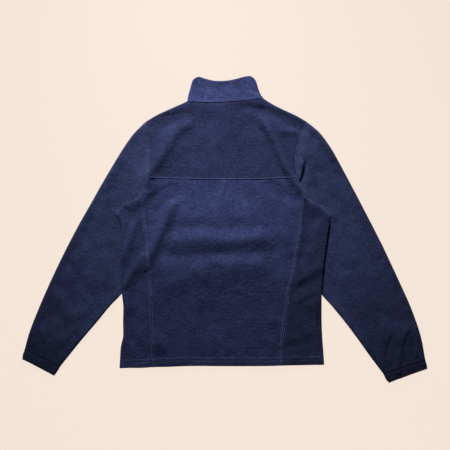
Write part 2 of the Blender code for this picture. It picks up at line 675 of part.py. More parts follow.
def make_yoke(material):
    """Back yoke: from the yoke seam up to the shoulders and the neck seam."""
    wall = Wall("body")
    count = ARM_STEPS[0] + 1
    left = armhole_line(-1, "body")[:count][::-1]
    right = armhole_line(1, "body")[:count][::-1]
    shoulder_left, left_points, left_normals = shoulder_arcs(-1, TOP_TO_MIDDLE)
    shoulder_right, right_points, right_normals = shoulder_arcs(1, TOP_TO_MIDDLE)
    top = np.vstack([shoulder_left[::-1], neck_line()[1:-1], shoulder_right])
    u = back_columns()
    bottom = GARMENT.yoke_seam.at(u)
    bottom[0], bottom[-1] = left[0], right[0]
    v = (shares_of(left) + shares_of(right)) / 2
    plan = plan_grid(bottom, top, left, right, u, v)
    wall.add(*top_points(plan, "body"))
    wall.add(left_points, left_normals)
    wall.add(right_points, right_normals)
    return wall.build("back_yoke", material)


def side_seam_line(sign):
    return GARMENT.sides[sign]["seam"].at(fan_stations(SIDE_STEPS))


def make_back(material):
    """Back panel: below the yoke, between the side panels."""
    wall = Wall("body")
    first, last = ARM_STEPS[0], ARM_STEPS[0] + ARM_STEPS[1] + 1
    sides = [np.vstack([armhole_line(sign, "body")[first:last], side_seam_line(sign)[1:]])[::-1]
             for sign in (-1, 1)]
    u = back_columns()
    top = GARMENT.yoke_seam.at(u)
    top[0], top[-1] = sides[0][-1], sides[1][-1]
    start, end = GARMENT.hem.nearest(sides[0][0]), GARMENT.hem.nearest(sides[1][0])
    bottom = GARMENT.hem.at(start + (end - start) * u)
    bottom[0], bottom[-1] = sides[0][0], sides[1][0]
    v = (shares_of(sides[0]) + shares_of(sides[1])) / 2
    wall.add(*top_points(plan_grid(bottom, top, *sides, u, v), "body"))
    return wall.build("back_panel", material)


def make_side(sign, material):
    """Side panel: from the back side seam round the side fold to the front side seam."""
    side = GARMENT.sides[sign]
    stations = fan_stations(SIDE_STEPS)
    edge = side["edge"].at(stations)
    turn = outward(side["edge"], stations, sign, UNDERARM_TURN[sign], fan=UNDERARM_TURN_FAN)
    inner = inner_edge(edge, turn, "body")
    seam = side_seam_line(sign)
    line = armhole_line(sign, "body")[-(ARM_STEPS[2] + 1):]
    u = shares_of(line)
    hem_line = np.linspace(0, 1, 2)[:, None] * (inner[-1] - seam[-1]) + seam[-1]
    bottom = np.stack([np.interp(u, [0, 1], hem_line[:, k]) for k in (0, 1)], -1)
    plan = plan_grid(line, bottom, seam, inner, u, stations)
    wall = Wall("body")
    wall.add(*top_points(plan, "body"))
    arcs, normals = arc_points(edge, turn, TOP_TO_BOTTOM, "body")
    wall.add(arcs, normals)
    wall.add(*bottom_points(plan, "body"))
    return wall.build("side_panel_left" if sign < 0 else "side_panel_right", material)


def front_neckline(sign):
    """Plan points of one side of the front neckline, from the zip to the collar's fold."""
    start = Point(sign * ZIP_WINDOW / 2 / MM, NECK_FRONT_Y)
    neck = (LEFT if sign < 0 else RIGHT).shoulder[0]
    bends = [Point(start.x + share * (neck.x - start.x), NECK_FRONT_Y + rise)
             for share, rise in NECKLINE_BENDS]
    line = Curve(metres((start, *bends, neck))).at(np.linspace(0, 1, FRONT_STEPS + 1))
    line[-1] = inner_edge(line[-1:], direction(NECK_TURN[sign])[None], "body")[0]
    return line


def make_front(sign, material):
    """Front: from the zip to the side seam, with the lower half of the shoulder fold."""
    neckline = front_neckline(sign)
    shoulder, arcs, normals = shoulder_arcs(sign, MIDDLE_TO_BOTTOM)
    top = np.vstack([neckline, shoulder[1:]])
    count = ARM_STEPS[0] + ARM_STEPS[1] + 1
    outer = np.vstack([armhole_line(sign, "body")[:count], side_seam_line(sign)[1:]])[::-1]
    u = shares_of(top)
    hem_start = GARMENT.hem.nearest((sign * ZIP_WINDOW / 2, outer[0][1]))
    hem_end = GARMENT.hem.nearest(outer[0])
    bottom = GARMENT.hem.at(hem_start + (hem_end - hem_start) * u)
    bottom[0, 0], bottom[-1] = sign * ZIP_WINDOW / 2, outer[0]
    v = shares_of(outer)
    centre = np.stack([np.full(len(v), sign * ZIP_WINDOW / 2),
                       bottom[0, 1] + (NECK_FRONT_Y * MM - bottom[0, 1]) * v], -1)
    wall = Wall("body")
    plan = plan_grid(bottom, top, centre, outer, u, v)
    wall.add(*bottom_points(plan, "body"))
    wall.add(arcs, normals)
    return wall.build("front_left" if sign < 0 else "front_right", material)


def sleeve_stations(sign):
    """Matching shares along the outer and the inner fold, from the underarm to the cuff."""
    side = GARMENT.sides[sign]
    outer = [side["sleeve_outer"].nearest((r.outer_x * MM, r.outer_y * MM)) for r in side["rows"]]
    inner = [side["sleeve_inner"].nearest((r.inner_x * MM, r.inner_y * MM)) for r in side["rows"]]
    steps = (np.diff(outer) * side["sleeve_outer"].length
             + np.diff(inner) * side["sleeve_inner"].length)
    travel = np.concatenate([[0.0], np.cumsum(steps)])
    stations = np.concatenate([[0.0, travel[1] * UNDERARM_FAN],
                               np.linspace(travel[1], travel[-1], SLEEVE_STEPS + 1)])
    return np.interp(stations, travel, outer), np.interp(stations, travel, inner)


def make_sleeve(sign, material):
    """Sleeve: a flattened tube from the armhole to the cuff."""
    side = GARMENT.sides[sign]
    outer_shares, inner_shares = sleeve_stations(sign)
    before = np.linspace(0, outer_shares[0], ARM_STEPS[2] + 1)[:-1]
    outer_shares = np.concatenate([before, outer_shares])
    outer = side["sleeve_outer"].at(outer_shares)
    outer_turn = outward(side["sleeve_outer"], outer_shares, sign, SHOULDER_TURN[sign],
                         CUFF_OUTER_TURN[sign], SHOULDER_FAN)
    inner = side["sleeve_inner"].at(inner_shares)
    inner_turn = outward(side["sleeve_inner"], inner_shares, -sign, UNDERARM_TURN[sign],
                         CUFF_INNER_TURN[sign], UNDERARM_TURN_FAN)
    line = armhole_line(sign, "sleeve")
    upper, lower = np.split(line, [ARM_STEPS[0] + ARM_STEPS[1]])
    upper = np.vstack([upper, lower[:1]])
    start = inner_edge(outer, outer_turn, "sleeve")
    end = np.vstack([lower[:-1], inner_edge(inner, inner_turn, "sleeve")])
    across = shares_of(upper)
    bend = upper - upper[0] * (1 - across)[:, None] - upper[-1] * across[:, None]
    fade = 1 - smooth(outer_shares / SLEEVE_HEAD)
    plan = (start[:, None] * (1 - across)[None, :, None] + end[:, None] * across[None, :, None]
            + fade[:, None, None] * bend[None])
    wall = Wall("sleeve")
    wall.add(*top_points(plan, "sleeve"))
    wall.add(*bottom_points(plan, "sleeve"))
    wall.add(*arc_points(outer, outer_turn, TOP_TO_BOTTOM, "sleeve"))
    wall.add(*arc_points(inner, inner_turn, TOP_TO_BOTTOM, "sleeve"))
    return wall.build("sleeve_left" if sign < 0 else "sleeve_right", material)


def make_cuff(sign, material):
    """Elasticated cuff: a short flattened tube with a rippled outer face."""
    side = GARMENT.sides[sign]
    stations = np.linspace(0, 1, CUFF_STEPS + 1)
    outer, inner = side["cuff_outer"].at(stations), side["cuff_inner"].at(stations)
    outer_turn = outward(side["cuff_outer"], stations, sign, CUFF_OUTER_TURN[sign])
    inner_turn = outward(side["cuff_inner"], stations, -sign, CUFF_INNER_TURN[sign])
    across = np.linspace(0, 1, GATHERS_PER_SIDE * CUFF_POINTS_PER_GATHER + 1)
    start = inner_edge(outer, outer_turn, "sleeve")
    end = inner_edge(inner, inner_turn, "sleeve")
    plan = start[:, None] * (1 - across)[None, :, None] + end[:, None] * across[None, :, None]
    points, normals = top_points(plan, "sleeve")
    ripple = 0.5 - 0.5 * np.cos(2 * math.pi * GATHERS_PER_SIDE * across)
    points[..., 2] += GATHER_HEIGHT * ripple[None, :]
    wall = Wall("sleeve")
    wall.add(points, normals)
    arcs, arc_normals = arc_points(inner, inner_turn, TOP_TO_BOTTOM, "sleeve")
    wall.add(arcs, arc_normals)
    wall.add(*bottom_points(plan, "sleeve"))
    arcs, arc_normals = arc_points(outer, outer_turn, TOP_TO_BOTTOM, "sleeve")
    wall.add(arcs, arc_normals)
    return wall.build("cuff_left" if sign < 0 else "cuff_right", material)


def make_collar(material):
    """Stand collar: one band from the zip round the neck and back to the zip."""
    wall = Wall("body")
    rows = np.linspace(0, 1, COLLAR_STEPS + 1)
    neck, top_curve = neck_line(), GARMENT.collar_top.at(np.linspace(0, 1, NECK_STEPS + 1))
    flats = {}
    for sign in (-1, 1):
        curve = GARMENT.collar_edges[sign]
        turn = outward(curve, rows, -sign, NECK_TURN[sign])
        edge = curve.at(rows)
        flats[sign] = inner_edge(edge, turn, "body")
        arcs, normals = arc_points(edge, turn, TOP_TO_BOTTOM, "body")
        wall.add(arcs, normals)
        neckline = front_neckline(sign)
        u = shares_of(neckline)
        end = np.array([sign * ZIP_WINDOW / 2, COLLAR_FRONT_Y * MM])
        upper = end * (1 - u)[:, None] + flats[sign][-1] * u[:, None]
        centre = neckline[0] * (1 - rows)[:, None] + end * rows[:, None]
        plan = plan_grid(neckline, upper, centre, flats[sign], u, rows)
        wall.add(*bottom_points(plan, "body"))
    u = shares_of(neck)
    top_curve[0], top_curve[-1] = flats[-1][-1], flats[1][-1]
    plan = plan_grid(neck, top_curve, flats[-1], flats[1], u, rows)
    wall.add(*top_points(plan, "body"))
    return wall.build("collar", material)


# ---------------------------------------------------------------- zip

def zip_strip(name, x_start, x_end, y_start, y_end, z_low, thick, material):
    """A long flat strip that follows the lift of the front, with square ends."""
    rows = np.linspace(y_start, y_end, ZIP_STEPS + 1)
    columns = np.array([x_start, x_end])
    xs, ys = np.meshgrid(columns, rows)
    lift = GARMENT.zip_lift(xs, ys) + z_low
    low = np.stack([xs, ys, lift], -1).reshape(-1, 3)
    high = low + np.array([0, 0, thick])
    count, last = len(low), 2 * ZIP_STEPS
    faces = []
    for r in range(ZIP_STEPS):
        a, b, c, d = 2 * r, 2 * r + 1, 2 * r + 3, 2 * r + 2
        faces += [[a, d, c, b], [count + a, count + b, count + c, count + d]]
        faces += [[a, count + a, count + d, d], [b, c, count + c, count + b]]
    faces += [[0, 1, count + 1, count], [last, count + last, count + last + 1, last + 1]]
    return new_object(name, np.vstack([low, high]), faces, material)


def make_zip(tape_material, metal):
    """Both tapes, the closed chain and the slider."""
    hem_y = np.interp(0.0, GARMENT.hem.dense[:, 0], GARMENT.hem.dense[:, 1]) + ZIP_HEM_INSET
    chain_top = SLIDER_Y - SLIDER_LENGTH / 2 - SEAM_GAP
    inside = CHAIN_WIDTH / 2 + SEAM_GAP
    collar_top = COLLAR_FRONT_Y * MM - ZIP_TOP_INSET
    for sign, name in ((-1, "zip_tape_left"), (1, "zip_tape_right")):
        ends = sorted((sign * inside, sign * (inside + TAPE_WIDTH)))
        zip_strip(name, *ends, hem_y, collar_top, TAPE_Z, TAPE_THICK, tape_material)
    zip_strip("zip_chain", -CHAIN_WIDTH / 2, CHAIN_WIDTH / 2, hem_y, chain_top,
              TAPE_Z - CHAIN_DROP, CHAIN_THICK, metal)
    make_slider(metal)


def box(name, size, centre, material):
    """A plain box."""
    bpy.ops.mesh.primitive_cube_add(size=1, location=centre)
    obj = bpy.context.object
    obj.name = name
    obj.scale = size
    bpy.ops.object.transform_apply(location=False, rotation=False, scale=True)
    for collection in list(obj.users_collection):
        collection.objects.unlink(obj)
    obj.data.materials.append(material)
    return obj


def boolean(obj, other, operation):
    """Joins or cuts with another solid, which is then removed."""
    modifier = obj.modifiers.new(operation.lower(), "BOOLEAN")
    modifier.operation = operation
    modifier.object = other
    bpy.context.view_layer.update()
    graph = bpy.context.evaluated_depsgraph_get()
    mesh = bpy.data.meshes.new_from_object(obj.evaluated_get(graph))
    obj.modifiers.clear()
    old = obj.data
    obj.data = mesh
    bpy.data.meshes.remove(old)
    bpy.data.objects.remove(other)


def make_slider(metal):
    """Slider: two plates joined by a post, with a bail that holds the pull tab."""
    centre_y = SLIDER_Y
    plate = (SLIDER_WIDTH, SLIDER_LENGTH, PLATE_THICK)
    low, high = LOWER_PLATE_LOW, UPPER_PLATE_LOW
    collection = bpy.data.collections["fleece_zip_jacket"]
    slider = box("zip_slider", plate, (0, centre_y, low + PLATE_THICK / 2), metal)
    collection.objects.link(slider)
    upper = box("upper_plate", plate, (0, centre_y, high + PLATE_THICK / 2), metal)
    post = box("post", (POST_WIDTH, SLIDER_LENGTH * POST_SHARE, high - low),
               (0, centre_y + SLIDER_LENGTH * POST_SHIFT, (low + high + PLATE_THICK) / 2), metal)
    bail_height = BAIL_DROP + PLATE_THICK / 2
    bail_z = low + PLATE_THICK / 2 - bail_height / 2
    bail = box("bail", (BAIL_WIDTH, BAIL_LENGTH, bail_height), (0, centre_y, bail_z), metal)
    hole_height = BAIL_DROP - BAIL_WIRE
    hole = box("bail_hole", (4 * BAIL_WIDTH, BAIL_LENGTH - 2 * BAIL_WIRE, hole_height),
               (0, centre_y, low - hole_height / 2), metal)
    for solid in (bail, hole, upper, post):
        collection.objects.link(solid)
    boolean(bail, hole, "DIFFERENCE")
    for solid in (upper, post, bail):
        bpy.context.view_layer.update()
        boolean(slider, solid, "UNION")
    return slider


def make_pull_tab(metal):
    """Pull tab: a flat tab with a slot, hung on a pin that turns in the bail."""
    collection = bpy.data.collections["fleece_zip_jacket"]
    middle_y = (TAB_THICK - TAB_LENGTH) / 2
    tab = box("zip_pull_tab", (TAB_WIDTH, TAB_LENGTH, TAB_THICK), (0, middle_y, 0), metal)
    slot_y = -(TAB_THICK + SLOT_LENGTH) / 2
    slot = box("tab_slot", (SLOT_WIDTH, SLOT_LENGTH, 4 * TAB_THICK), (0, slot_y, 0), metal)
    for solid in (tab, slot):
        collection.objects.link(solid)
    boolean(tab, slot, "DIFFERENCE")
    work = bmesh.new()
    work.from_mesh(tab.data)
    bmesh.ops.translate(work, verts=work.verts, vec=(0, middle_y, 0))
    free_end = TAB_THICK / 2 - TAB_LENGTH
    corners = [e for e in work.edges if all(v.co.y < free_end + SEAM_GAP for v in e.verts)
               and abs(e.verts[0].co.x - e.verts[1].co.x) < SEAM_GAP]
    bmesh.ops.bevel(work, geom=corners, offset=TAB_CORNER, segments=3, profile=0.5,
                    affect="EDGES")
    work.to_mesh(tab.data)
    work.free()
    drop = PIN_Z - TAB_CLEAR - TAB_THICK / 2
    tab.location = (0, SLIDER_Y, PIN_Z)
    tab.rotation_euler = (math.asin(drop / (TAB_LENGTH - TAB_THICK)), 0, 0)


# ---------------------------------------------------------------- the whole jacket

def clear_scene():
    for obj in list(bpy.data.objects):
        bpy.data.objects.remove(obj, do_unlink=True)
    for collection in list(bpy.data.collections):
        bpy.data.collections.remove(collection)


def main():
    clear_scene()
    collection = bpy.data.collections.new("fleece_zip_jacket")
    bpy.context.scene.collection.children.link(collection)
    cloth = fleece("navy_fleece", NAVY, 0.95)
    tape = fleece("zip_tape", NAVY_DARK, 0.8)
    metal = fleece("zip_metal", ZIP_METAL, 0.4, 0.9)
    make_yoke(cloth)
    make_back(cloth)
    for sign in (-1, 1):
        make_side(sign, cloth)
        make_front(sign, cloth)
        make_sleeve(sign, cloth)
        make_cuff(sign, cloth)
    make_collar(cloth)
    make_zip(tape, metal)
    make_pull_tab(metal)


if __name__ == "__main__":
    main()
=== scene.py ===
"""Fleece zip jacket laid flat on its front: its cloth, sewing and zip, over the fixed frame.

Metres, +Z up, +Y towards the collar; the wearer's left arm is on the -X side. Each cloth piece
is a closed wall on one smooth shape of the flattened garment: heights of the upper and the
lower layer over the plan, and round folded edges between them.
"""

import itertools
import math
from collections import namedtuple

import bpy
import numpy as np
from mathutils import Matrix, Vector


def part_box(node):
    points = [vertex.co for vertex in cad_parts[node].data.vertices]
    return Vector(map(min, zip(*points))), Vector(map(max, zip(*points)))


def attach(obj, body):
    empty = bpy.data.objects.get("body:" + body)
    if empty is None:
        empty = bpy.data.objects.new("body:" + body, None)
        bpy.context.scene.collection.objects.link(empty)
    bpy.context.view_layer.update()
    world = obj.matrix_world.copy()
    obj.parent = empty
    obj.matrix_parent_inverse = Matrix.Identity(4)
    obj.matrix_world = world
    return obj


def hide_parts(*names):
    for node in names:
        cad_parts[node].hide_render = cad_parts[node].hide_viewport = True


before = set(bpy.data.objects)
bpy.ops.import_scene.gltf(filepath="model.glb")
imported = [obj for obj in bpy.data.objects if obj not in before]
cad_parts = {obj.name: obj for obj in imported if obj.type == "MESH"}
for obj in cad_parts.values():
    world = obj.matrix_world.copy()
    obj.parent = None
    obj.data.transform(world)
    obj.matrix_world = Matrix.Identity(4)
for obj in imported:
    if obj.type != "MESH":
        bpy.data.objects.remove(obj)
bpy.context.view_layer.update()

bl_info = {
    "name": "Fleece Zip Jacket",
    "version": (1, 0, 0),
    "blender": (4, 5, 0),
    "location": "View3D > Sidebar > Jacket",
    "description": "Sews a fleece zip jacket that lies flat on its front",
    "category": "Object",
}

MM = 0.001
BODY = "jacket"
BOTH_SIDES = (-1, 1)            # the wearer's left, then right
TINY = 1e-18                    # keeps a division from being by 0
FAR = 1e9                       # more than any distance here

# Heights of the flattened garment, in metres.
LEVEL = 6.4 * MM                # height of the flat double layer
SQUEEZE = 1.8 * MM              # how much thinner a sleeve is under the body's side
FOLD_PUFF = 1.8 * MM            # extra height of the cloth along a folded edge
FOLD_PUFF_REACH = 22 * MM
HELD_PUFF_LOSS = 0.8            # share of that height lost where a sleeve holds the edge up
FOLD_RADIUS = 3.8 * MM          # plan radius of the round folded edges
PILE_REACH = 0.7 * MM           # how far the pile stands out beyond them
LIFT_HEIGHT = 5.0 * MM          # height by which a sleeve holds the body's side up
UNDERLAP_REACH = 9 * MM
UNDERLAP_FADE = 34 * MM
PRESSED_REACH = 12 * MM
PRESSED_FADE = 26 * MM
DEEPEST_FOLD = 2.1 * MM         # a trough stays clear of the layer below
ZIP_WINDOW = 11 * MM            # the front edges stand apart by this much
ZIP_LIFT = 3.8 * MM             # the zip's top is held up by its slider and tab
ZIP_LIFT_FLAT = 7 * MM
ZIP_LIFT_FADE = 50 * MM
ZIP_LIFT_START = 170 * MM
ZIP_LIFT_RUN = 135 * MM
SLIDER_ROOM = 0.2               # share of that lift that the layer over it gets on top
SEAM_GAP = 0.04 * MM            # between the walls of two pieces at their seam
RIM_BULGE = 0.42                # how far a free rim is rounded, as a share of the cloth

Side = namedtuple("Side", "shoulder armhole yoke_end seam_top edge side_seam rows cuff")
Band = namedtuple("Band", "top full_top full_bottom bottom")
Fold = namedtuple("Fold", "points left right height taper")
Seam = namedtuple("Seam", "curve drop valley ridge reach rows", defaults=(0.0, 6.5, ()))
Kind = namedtuple("Kind", "layer shown hidden folds")
Cut = namedtuple("Cut", "nap width length area rests_on")
Nap = namedtuple("Nap", "cloth tone tufts clumping sheen end_tone tone_end tone_start")

# Plan shapes in millimetres, one point for each change of direction. A row of a sleeve or a
# cuff has its outer point, then its inner one.
LEFT = Side(
    shoulder=((-97.2, 333.4), (-110, 327.3), (-145, 312), (-178, 296.4), (-204.5, 280.6)),
    armhole=((-204.5, 280.6), (-199, 246), (-195, 194), (-195.6, 133.6), (-206, 109.2),
             (-222.4, 78.5), (-258.3, 62.4), (-277.3, 35.1)),
    yoke_end=(-195.6, 133.6),
    seam_top=(-222.4, 78.5),
    edge=((-277.1, 35.1), (-275.4, 30), (-271.6, 20), (-269.2, 6), (-269, -27.3), (-270, -74),
          (-270, -118), (-267.5, -162), (-263.3, -200), (-264.3, -242), (-264, -277), (-270, -305),
          (-271.6, -325), (-273.4, -360.6)),
    side_seam=((-222.4, 78.5), (-218.3, 40), (-209, -27), (-201.6, -107), (-198, -175),
               (-194, -270), (-189.5, -358.5)),
    rows=((-224.1, 262, -277.5, 35.1), (-239.8, 245, -272.5, 30), (-268.7, 203, -267.5, 24),
          (-297.7, 155, -263, 17), (-325.5, 107.5, -259.2, 9), (-350, 64, -254.5, -6),
          (-370, 29, -248.5, -33), (-386, 0, -243, -68), (-395, -17, -238, -100),
          (-411, -48, -263, -158.5), (-433.7, -94, -300.4, -200.2), (-457.8, -146, -334.5, -241.8),
          (-483.9, -206, -370.1, -283.4), (-507.7, -267, -403.9, -325),
          (-520.6, -313, -429, -356.5)),
    cuff=((-525, -326, -436, -368.5), (-526.2, -338, -444.4, -380)),
)
RIGHT = Side(
    shoulder=((99.7, 340.7), (119.7, 327.8), (150.2, 312), (184, 296.4), (211, 280.8)),
    armhole=((211, 280.8), (194.7, 250), (184.5, 212), (182.5, 170), (187.5, 134.6),
             (201.6, 105.3), (208.1, 78), (246.1, 59.8), (274.2, 32.5)),
    yoke_end=(187.5, 134.6),
    seam_top=(208.1, 78),
    edge=((274.0, 32.5), (273.2, 27.5), (269.0, -1.3), (263.5, -40.3), (257.3, -89.7),
          (252.6, -136.5), (251.3, -165), (250.8, -200.2), (251.3, -241.8), (253.1, -283.4),
          (256.2, -325), (257.8, -351.8)),
    side_seam=((208.1, 78), (203, 43), (196, -27), (184, -100), (170, -161), (160, -235),
               (151.5, -310), (152.8, -354)),
    rows=((231.9, 264, 274.4, 32.5), (246, 251, 269.5, 27.5), (273.4, 214, 265.3, 22),
          (300, 168, 261.4, 15), (327.3, 117, 258, 7), (350.5, 73, 253.6, -8),
          (371, 33.5, 247, -35), (385, 6.5, 238, -72), (394, -11.5, 229, -108),
          (408, -39, 248.5, -162.5), (429.8, -85, 280.2, -200.2), (456.7, -143, 314.2, -241.8),
          (483.8, -204, 345.4, -283.4), (509, -277, 379.5, -331), (521.4, -341, 413, -375.5)),
    cuff=((525.2, -353.6, 419.5, -389), (526.2, -362.7, 427.6, -398.6)),
)
NECK_SEAM = ((-97.2, 333.4), (-56.8, 329.9), (0.4, 330.5), (52.4, 335.1), (99.7, 340.7))
NECK_FRONT_Y = 290
NECKLINE_BENDS = ((0.33, 4), (0.70, 19))
YOKE_SEAM = ((-195.6, 133.6), (-129.6, 131.9), (0.4, 130.0), (96.6, 130.6), (187.5, 134.6))
HEM = ((-273.4, -360.6), (-232, -361), (-206, -360.4), (-189.5, -358.5), (-153, -357.5),
       (-80, -355.2), (-7.4, -355.7), (117.4, -355.2), (152.8, -354), (200.6, -353.9),
       (257.8, -351.8))
COLLAR_TOP = ((-83.0, 388), (-76.5, 394.8), (-67.5, 396.8), (-47.7, 391.3), (-26.9, 386.4),
              (-6.1, 385.8), (14.7, 387.9), (35.5, 393.1), (54, 398.2), (66, 398.8), (75.5, 393.5),
              (80.3, 386))
COLLAR_LEFT = ((-97.2, 333.4), (-94.5, 348.4), (-89.6, 366.6), (-83.0, 388), (-76.5, 394.8))
COLLAR_RIGHT = ((99.7, 340.7), (92.7, 351), (86.5, 366.6), (80.3, 386), (75.5, 393.5))
COLLAR_FRONT_Y = 357
UNDERLAP_BAND = Band(42, 8, -185, -250)
PRESSED_BAND = Band(48, 8, -192, -212)

# Where each fold turns over its edge at a seam's end: plan directions in degrees, and the
# lengths over which the edge takes them up.
NECK_TURN = {-1: 140, 1: 44}
SHOULDER_TURN = {-1: 126, 1: 54}
UNDERARM_TURN = {-1: 264, 1: 276}
CUFF_OUTER_TURN = {-1: 164, 1: 9}
CUFF_INNER_TURN = {-1: 321, 1: 217}
COLLAR_TOP_TURN = {-1: 192, 1: -29}
SEAM_FAN = 10 * MM
SHOULDER_FAN = 40 * MM
UNDERARM_TURN_FAN = 5 * MM
ARMHOLE_BLEND = 28 * MM
NECK_BLEND = 20 * MM
NECKLINE_BLEND = 0.25           # share of the front neckline over which it meets the fold
SLEEVE_HEAD = 0.30              # share of the sleeve over which the armhole's curve fades
SLEEVE_CAP = 0.05               # share of it that fans out from the underarm's corner
FAN_ROWS = 6

# Soft ridges (height over 0) and troughs, in millimetres: a line of plan points, the half
# width on the left and on the right of that line, the height and the taper of its ends.
NECK_FOLD = Fold(((-96, 331), (-56, 328), (0, 329), (54, 333), (98, 338)), 46, 60, 4.6, 20)
SHARED_FOLDS = (
    Fold(((-82, 290), (-114, 262), (-138, 239), (-152, 212), (-192, 152), (-206, 120)), 23, 36, 5.8, 60),
    Fold(((-124, 244), (-156, 196), (-188, 146), (-214, 76)), 40, 46, 5.2, 60),
    Fold(((94, 288), (115, 254), (137, 207), (160, 157), (182, 124), (208, 88)), 14, 19, 7.4, 80),
    Fold(((100, 262), (122, 214), (144, 164), (162, 130)), 12, 24, -2.4, 30),
    Fold(((97, 296), (136, 236), (172, 158), (188, 124), (212, 88)), 30, 30, 2.4, 80),
    Fold(((-205, 276), (-155, 283), (-106, 290), (-78, 294)), 24, 26, -4.4, 34),
    Fold(((-190, 66), (-154, 84), (-116, 98)), 34, 34, -4.8, 30),
    Fold(((39, 320), (97, 309), (156, 287), (203, 262), (238, 232)), 18, 20, -3.0, 30),
    Fold(((112, 116), (150, 92), (193, 68)), 24, 22, -3.2, 26),
    Fold(((-205, 102), (-222, 76), (-256, 58)), 22, 11, 2.8, 16),
    Fold(((206, 84), (220, 66), (248, 52), (268, 32)), 11, 34, 4.4, 30),
    Fold(((220, 240), (250, 208), (278, 160)), 22, 40, -2.0, 40),
    Fold(((140, 258), (185, 254)), 12, 22, 3.4, 16),
    Fold(((-202, 253), (-200, 207), (-197, 152)), 8, 24, -2.1, 26),
    Fold(((206, 208), (205, 176), (200, 150), (195, 129)), 3.2, 24, 2.8, 18),
    Fold(((204, 176), (200, 150), (195, 127)), 3.2, 20, 3.2, 18),
    Fold(((212, 178), (209, 158), (202, 130)), 8, 6, -2.1, 14),
)
BODY_FOLDS = (
    NECK_FOLD,
    Fold(((-100, -60), (100, -60)), 190, 170, 7.0, 110),
    Fold(((-150, 30), (0, 35), (80, 34)), 60, 26, 2.6, 60),
    Fold(((-156, -31), (-60, -27), (20, -27), (110, -22)), 34, 40, 4.6, 50),
    Fold(((-60, -28), (20, -26), (110, -21), (172, -15)), 33, 36, 3.0, 60),
    Fold(((-168, -97), (-92, -97), (-26, -94), (40, -90), (95, -91)), 32, 95, 4.8, 44),
    Fold(((-155, -150), (-92, -126), (-44, -106)), 34, 50, 1.9, 40),
    Fold(((-10, -90), (60, -88), (132, -86)), 28, 70, 1.6, 46),
    Fold(((-137, 69), (-158, 12), (-177, -27), (-194, -69), (-203, -96)), 22, 26, 9.0, 56),
    Fold(((-110, 70), (-128, 10), (-146, -35), (-166, -72)), 12, 14, -1.5, 30),
    Fold(((-226, 30), (-240, -8), (-252, -42), (-266, -78)), 18, 16, 4.4, 34),
    Fold(((-226, -48), (-243, -82), (-260, -112)), 12, 12, -1.6, 20),
    Fold(((-210, -62), (-233, -99), (-252, -130), (-262, -146)), 18, 12, 3.2, 26),
    Fold(((-218, -122), (-238, -148), (-256, -168)), 16, 14, -1.6, 22),
    Fold(((-244, -216), (-242, -292)), 12, 14, -1.8, 22),
    Fold(((-258, -200), (-256, -300)), 8, 8, 1.2, 22),
    Fold(((-190, -302), (-148, -306)), 50, 26, 4.0, 26),
    Fold(((252, -98), (222, -114), (186, -136)), 14, 20, 2.0, 18),
    Fold(((250, -126), (218, -140), (184, -158)), 16, 14, -1.6, 18),
    Fold(((246, -160), (214, -172), (182, -190)), 12, 20, 1.8, 20),
    Fold(((236, -180), (238, -306)), 6, 9, 1.1, 22),
    Fold(((160, -306), (196, -298), (234, -292)), 22, 16, -1.9, 25),
    Fold(((2, 150), (-5, 88)), 9, 7, 1.5, 24),
    Fold(((-22, 66), (20, 66)), 66, 40, 4.4, 26),
    Fold(((36, -120), (38, -150)), 12, 12, -1.1, 18),
)
SLEEVE_FOLDS = (
    Fold(((-262, 200), (-300, 120), (-330, 40)), 26, 26, 2.2, 60),
    Fold(((-325, 105), (-345, 30), (-362, -40)), 20, 20, -1.8, 40),
    Fold(((-378, -52), (-396, -130)), 24, 24, 2.8, 40),
    Fold(((-408, -85), (-372, -136), (-338, -184)), 22, 20, -1.9, 35),
    Fold(((-440, -170), (-400, -236)), 26, 26, 2.0, 40),
    Fold(((-474, -256), (-467, -292)), 6, 14, 2.2, 16),
    Fold(((240, 226), (228, 180), (222, 120)), 22, 22, 1.8, 40),
    Fold(((300, 130), (340, 40), (352, -30)), 28, 28, 2.0, 60),
    Fold(((370, -4), (396, -44), (416, -90)), 22, 20, -1.0, 36),
    Fold(((330, -60), (362, -110), (392, -180)), 24, 30, 1.3, 50),
    Fold(((482, -252), (463, -286), (456, -322), (453, -376)), 7, 22, 2.2, 16),
    Fold(((492, -240), (501, -287), (500, -334)), 5, 12, 2.0, 16),
    Fold(((436, -275), (428, -300), (420, -335)), 12, 12, -1.6, 20),
    Fold(((404, -264), (498, -266)), 36, 48, 2.8, 20),
    Fold(((318, -128), (425, -98)), 160, 360, 6.4, 30),
    Fold(((212, 250), (345, 220)), 100, 110, 7.6, 30),
)
BACK_FOLDS = SHARED_FOLDS + BODY_FOLDS
COLLAR_FOLDS = (
    NECK_FOLD,
    Fold(((-66, 384), (-60, 345)), 8, 8, 1.8, 14),
    Fold(((-44, 362), (-38, 346)), 10, 10, 1.6, 12),
    Fold(((-56, 384), (-50, 350)), 6, 6, -1.2, 12),
    Fold(((68, 366), (98, 352)), 6, 7, -1.7, 12),
    Fold(((60, 356), (88, 344)), 5, 6, 1.2, 12),
    Fold(((74, 394), (76, 384)), 6, 6, -1.0, 8),
)
UNEVENNESS = ((52, 1.1), (23, 0.75), (11, 0.30))     # patch size and height, in millimetres
NOISE_CELLS = 64
NOISE_SHIFT = 1000.5            # keeps the patches' cells over 0

# Rows of stitches beside a seam, in millimetres from it.
ARMHOLE_ROWS = (1.8, 8.2)
SIDE_ROWS = (1.6, 7.6)
YOKE_ROWS = (1.8,)
NECK_ROWS = (2.0,)
HEM_ROWS = (13.0, 22.0)
CUFF_ROWS = (2.2, 9.0)
FRONT_ROWS = (6.0, 9.5)
FRONT_ROW_ENDS = (-352, 286)    # plan heights between which the rows beside the zip run

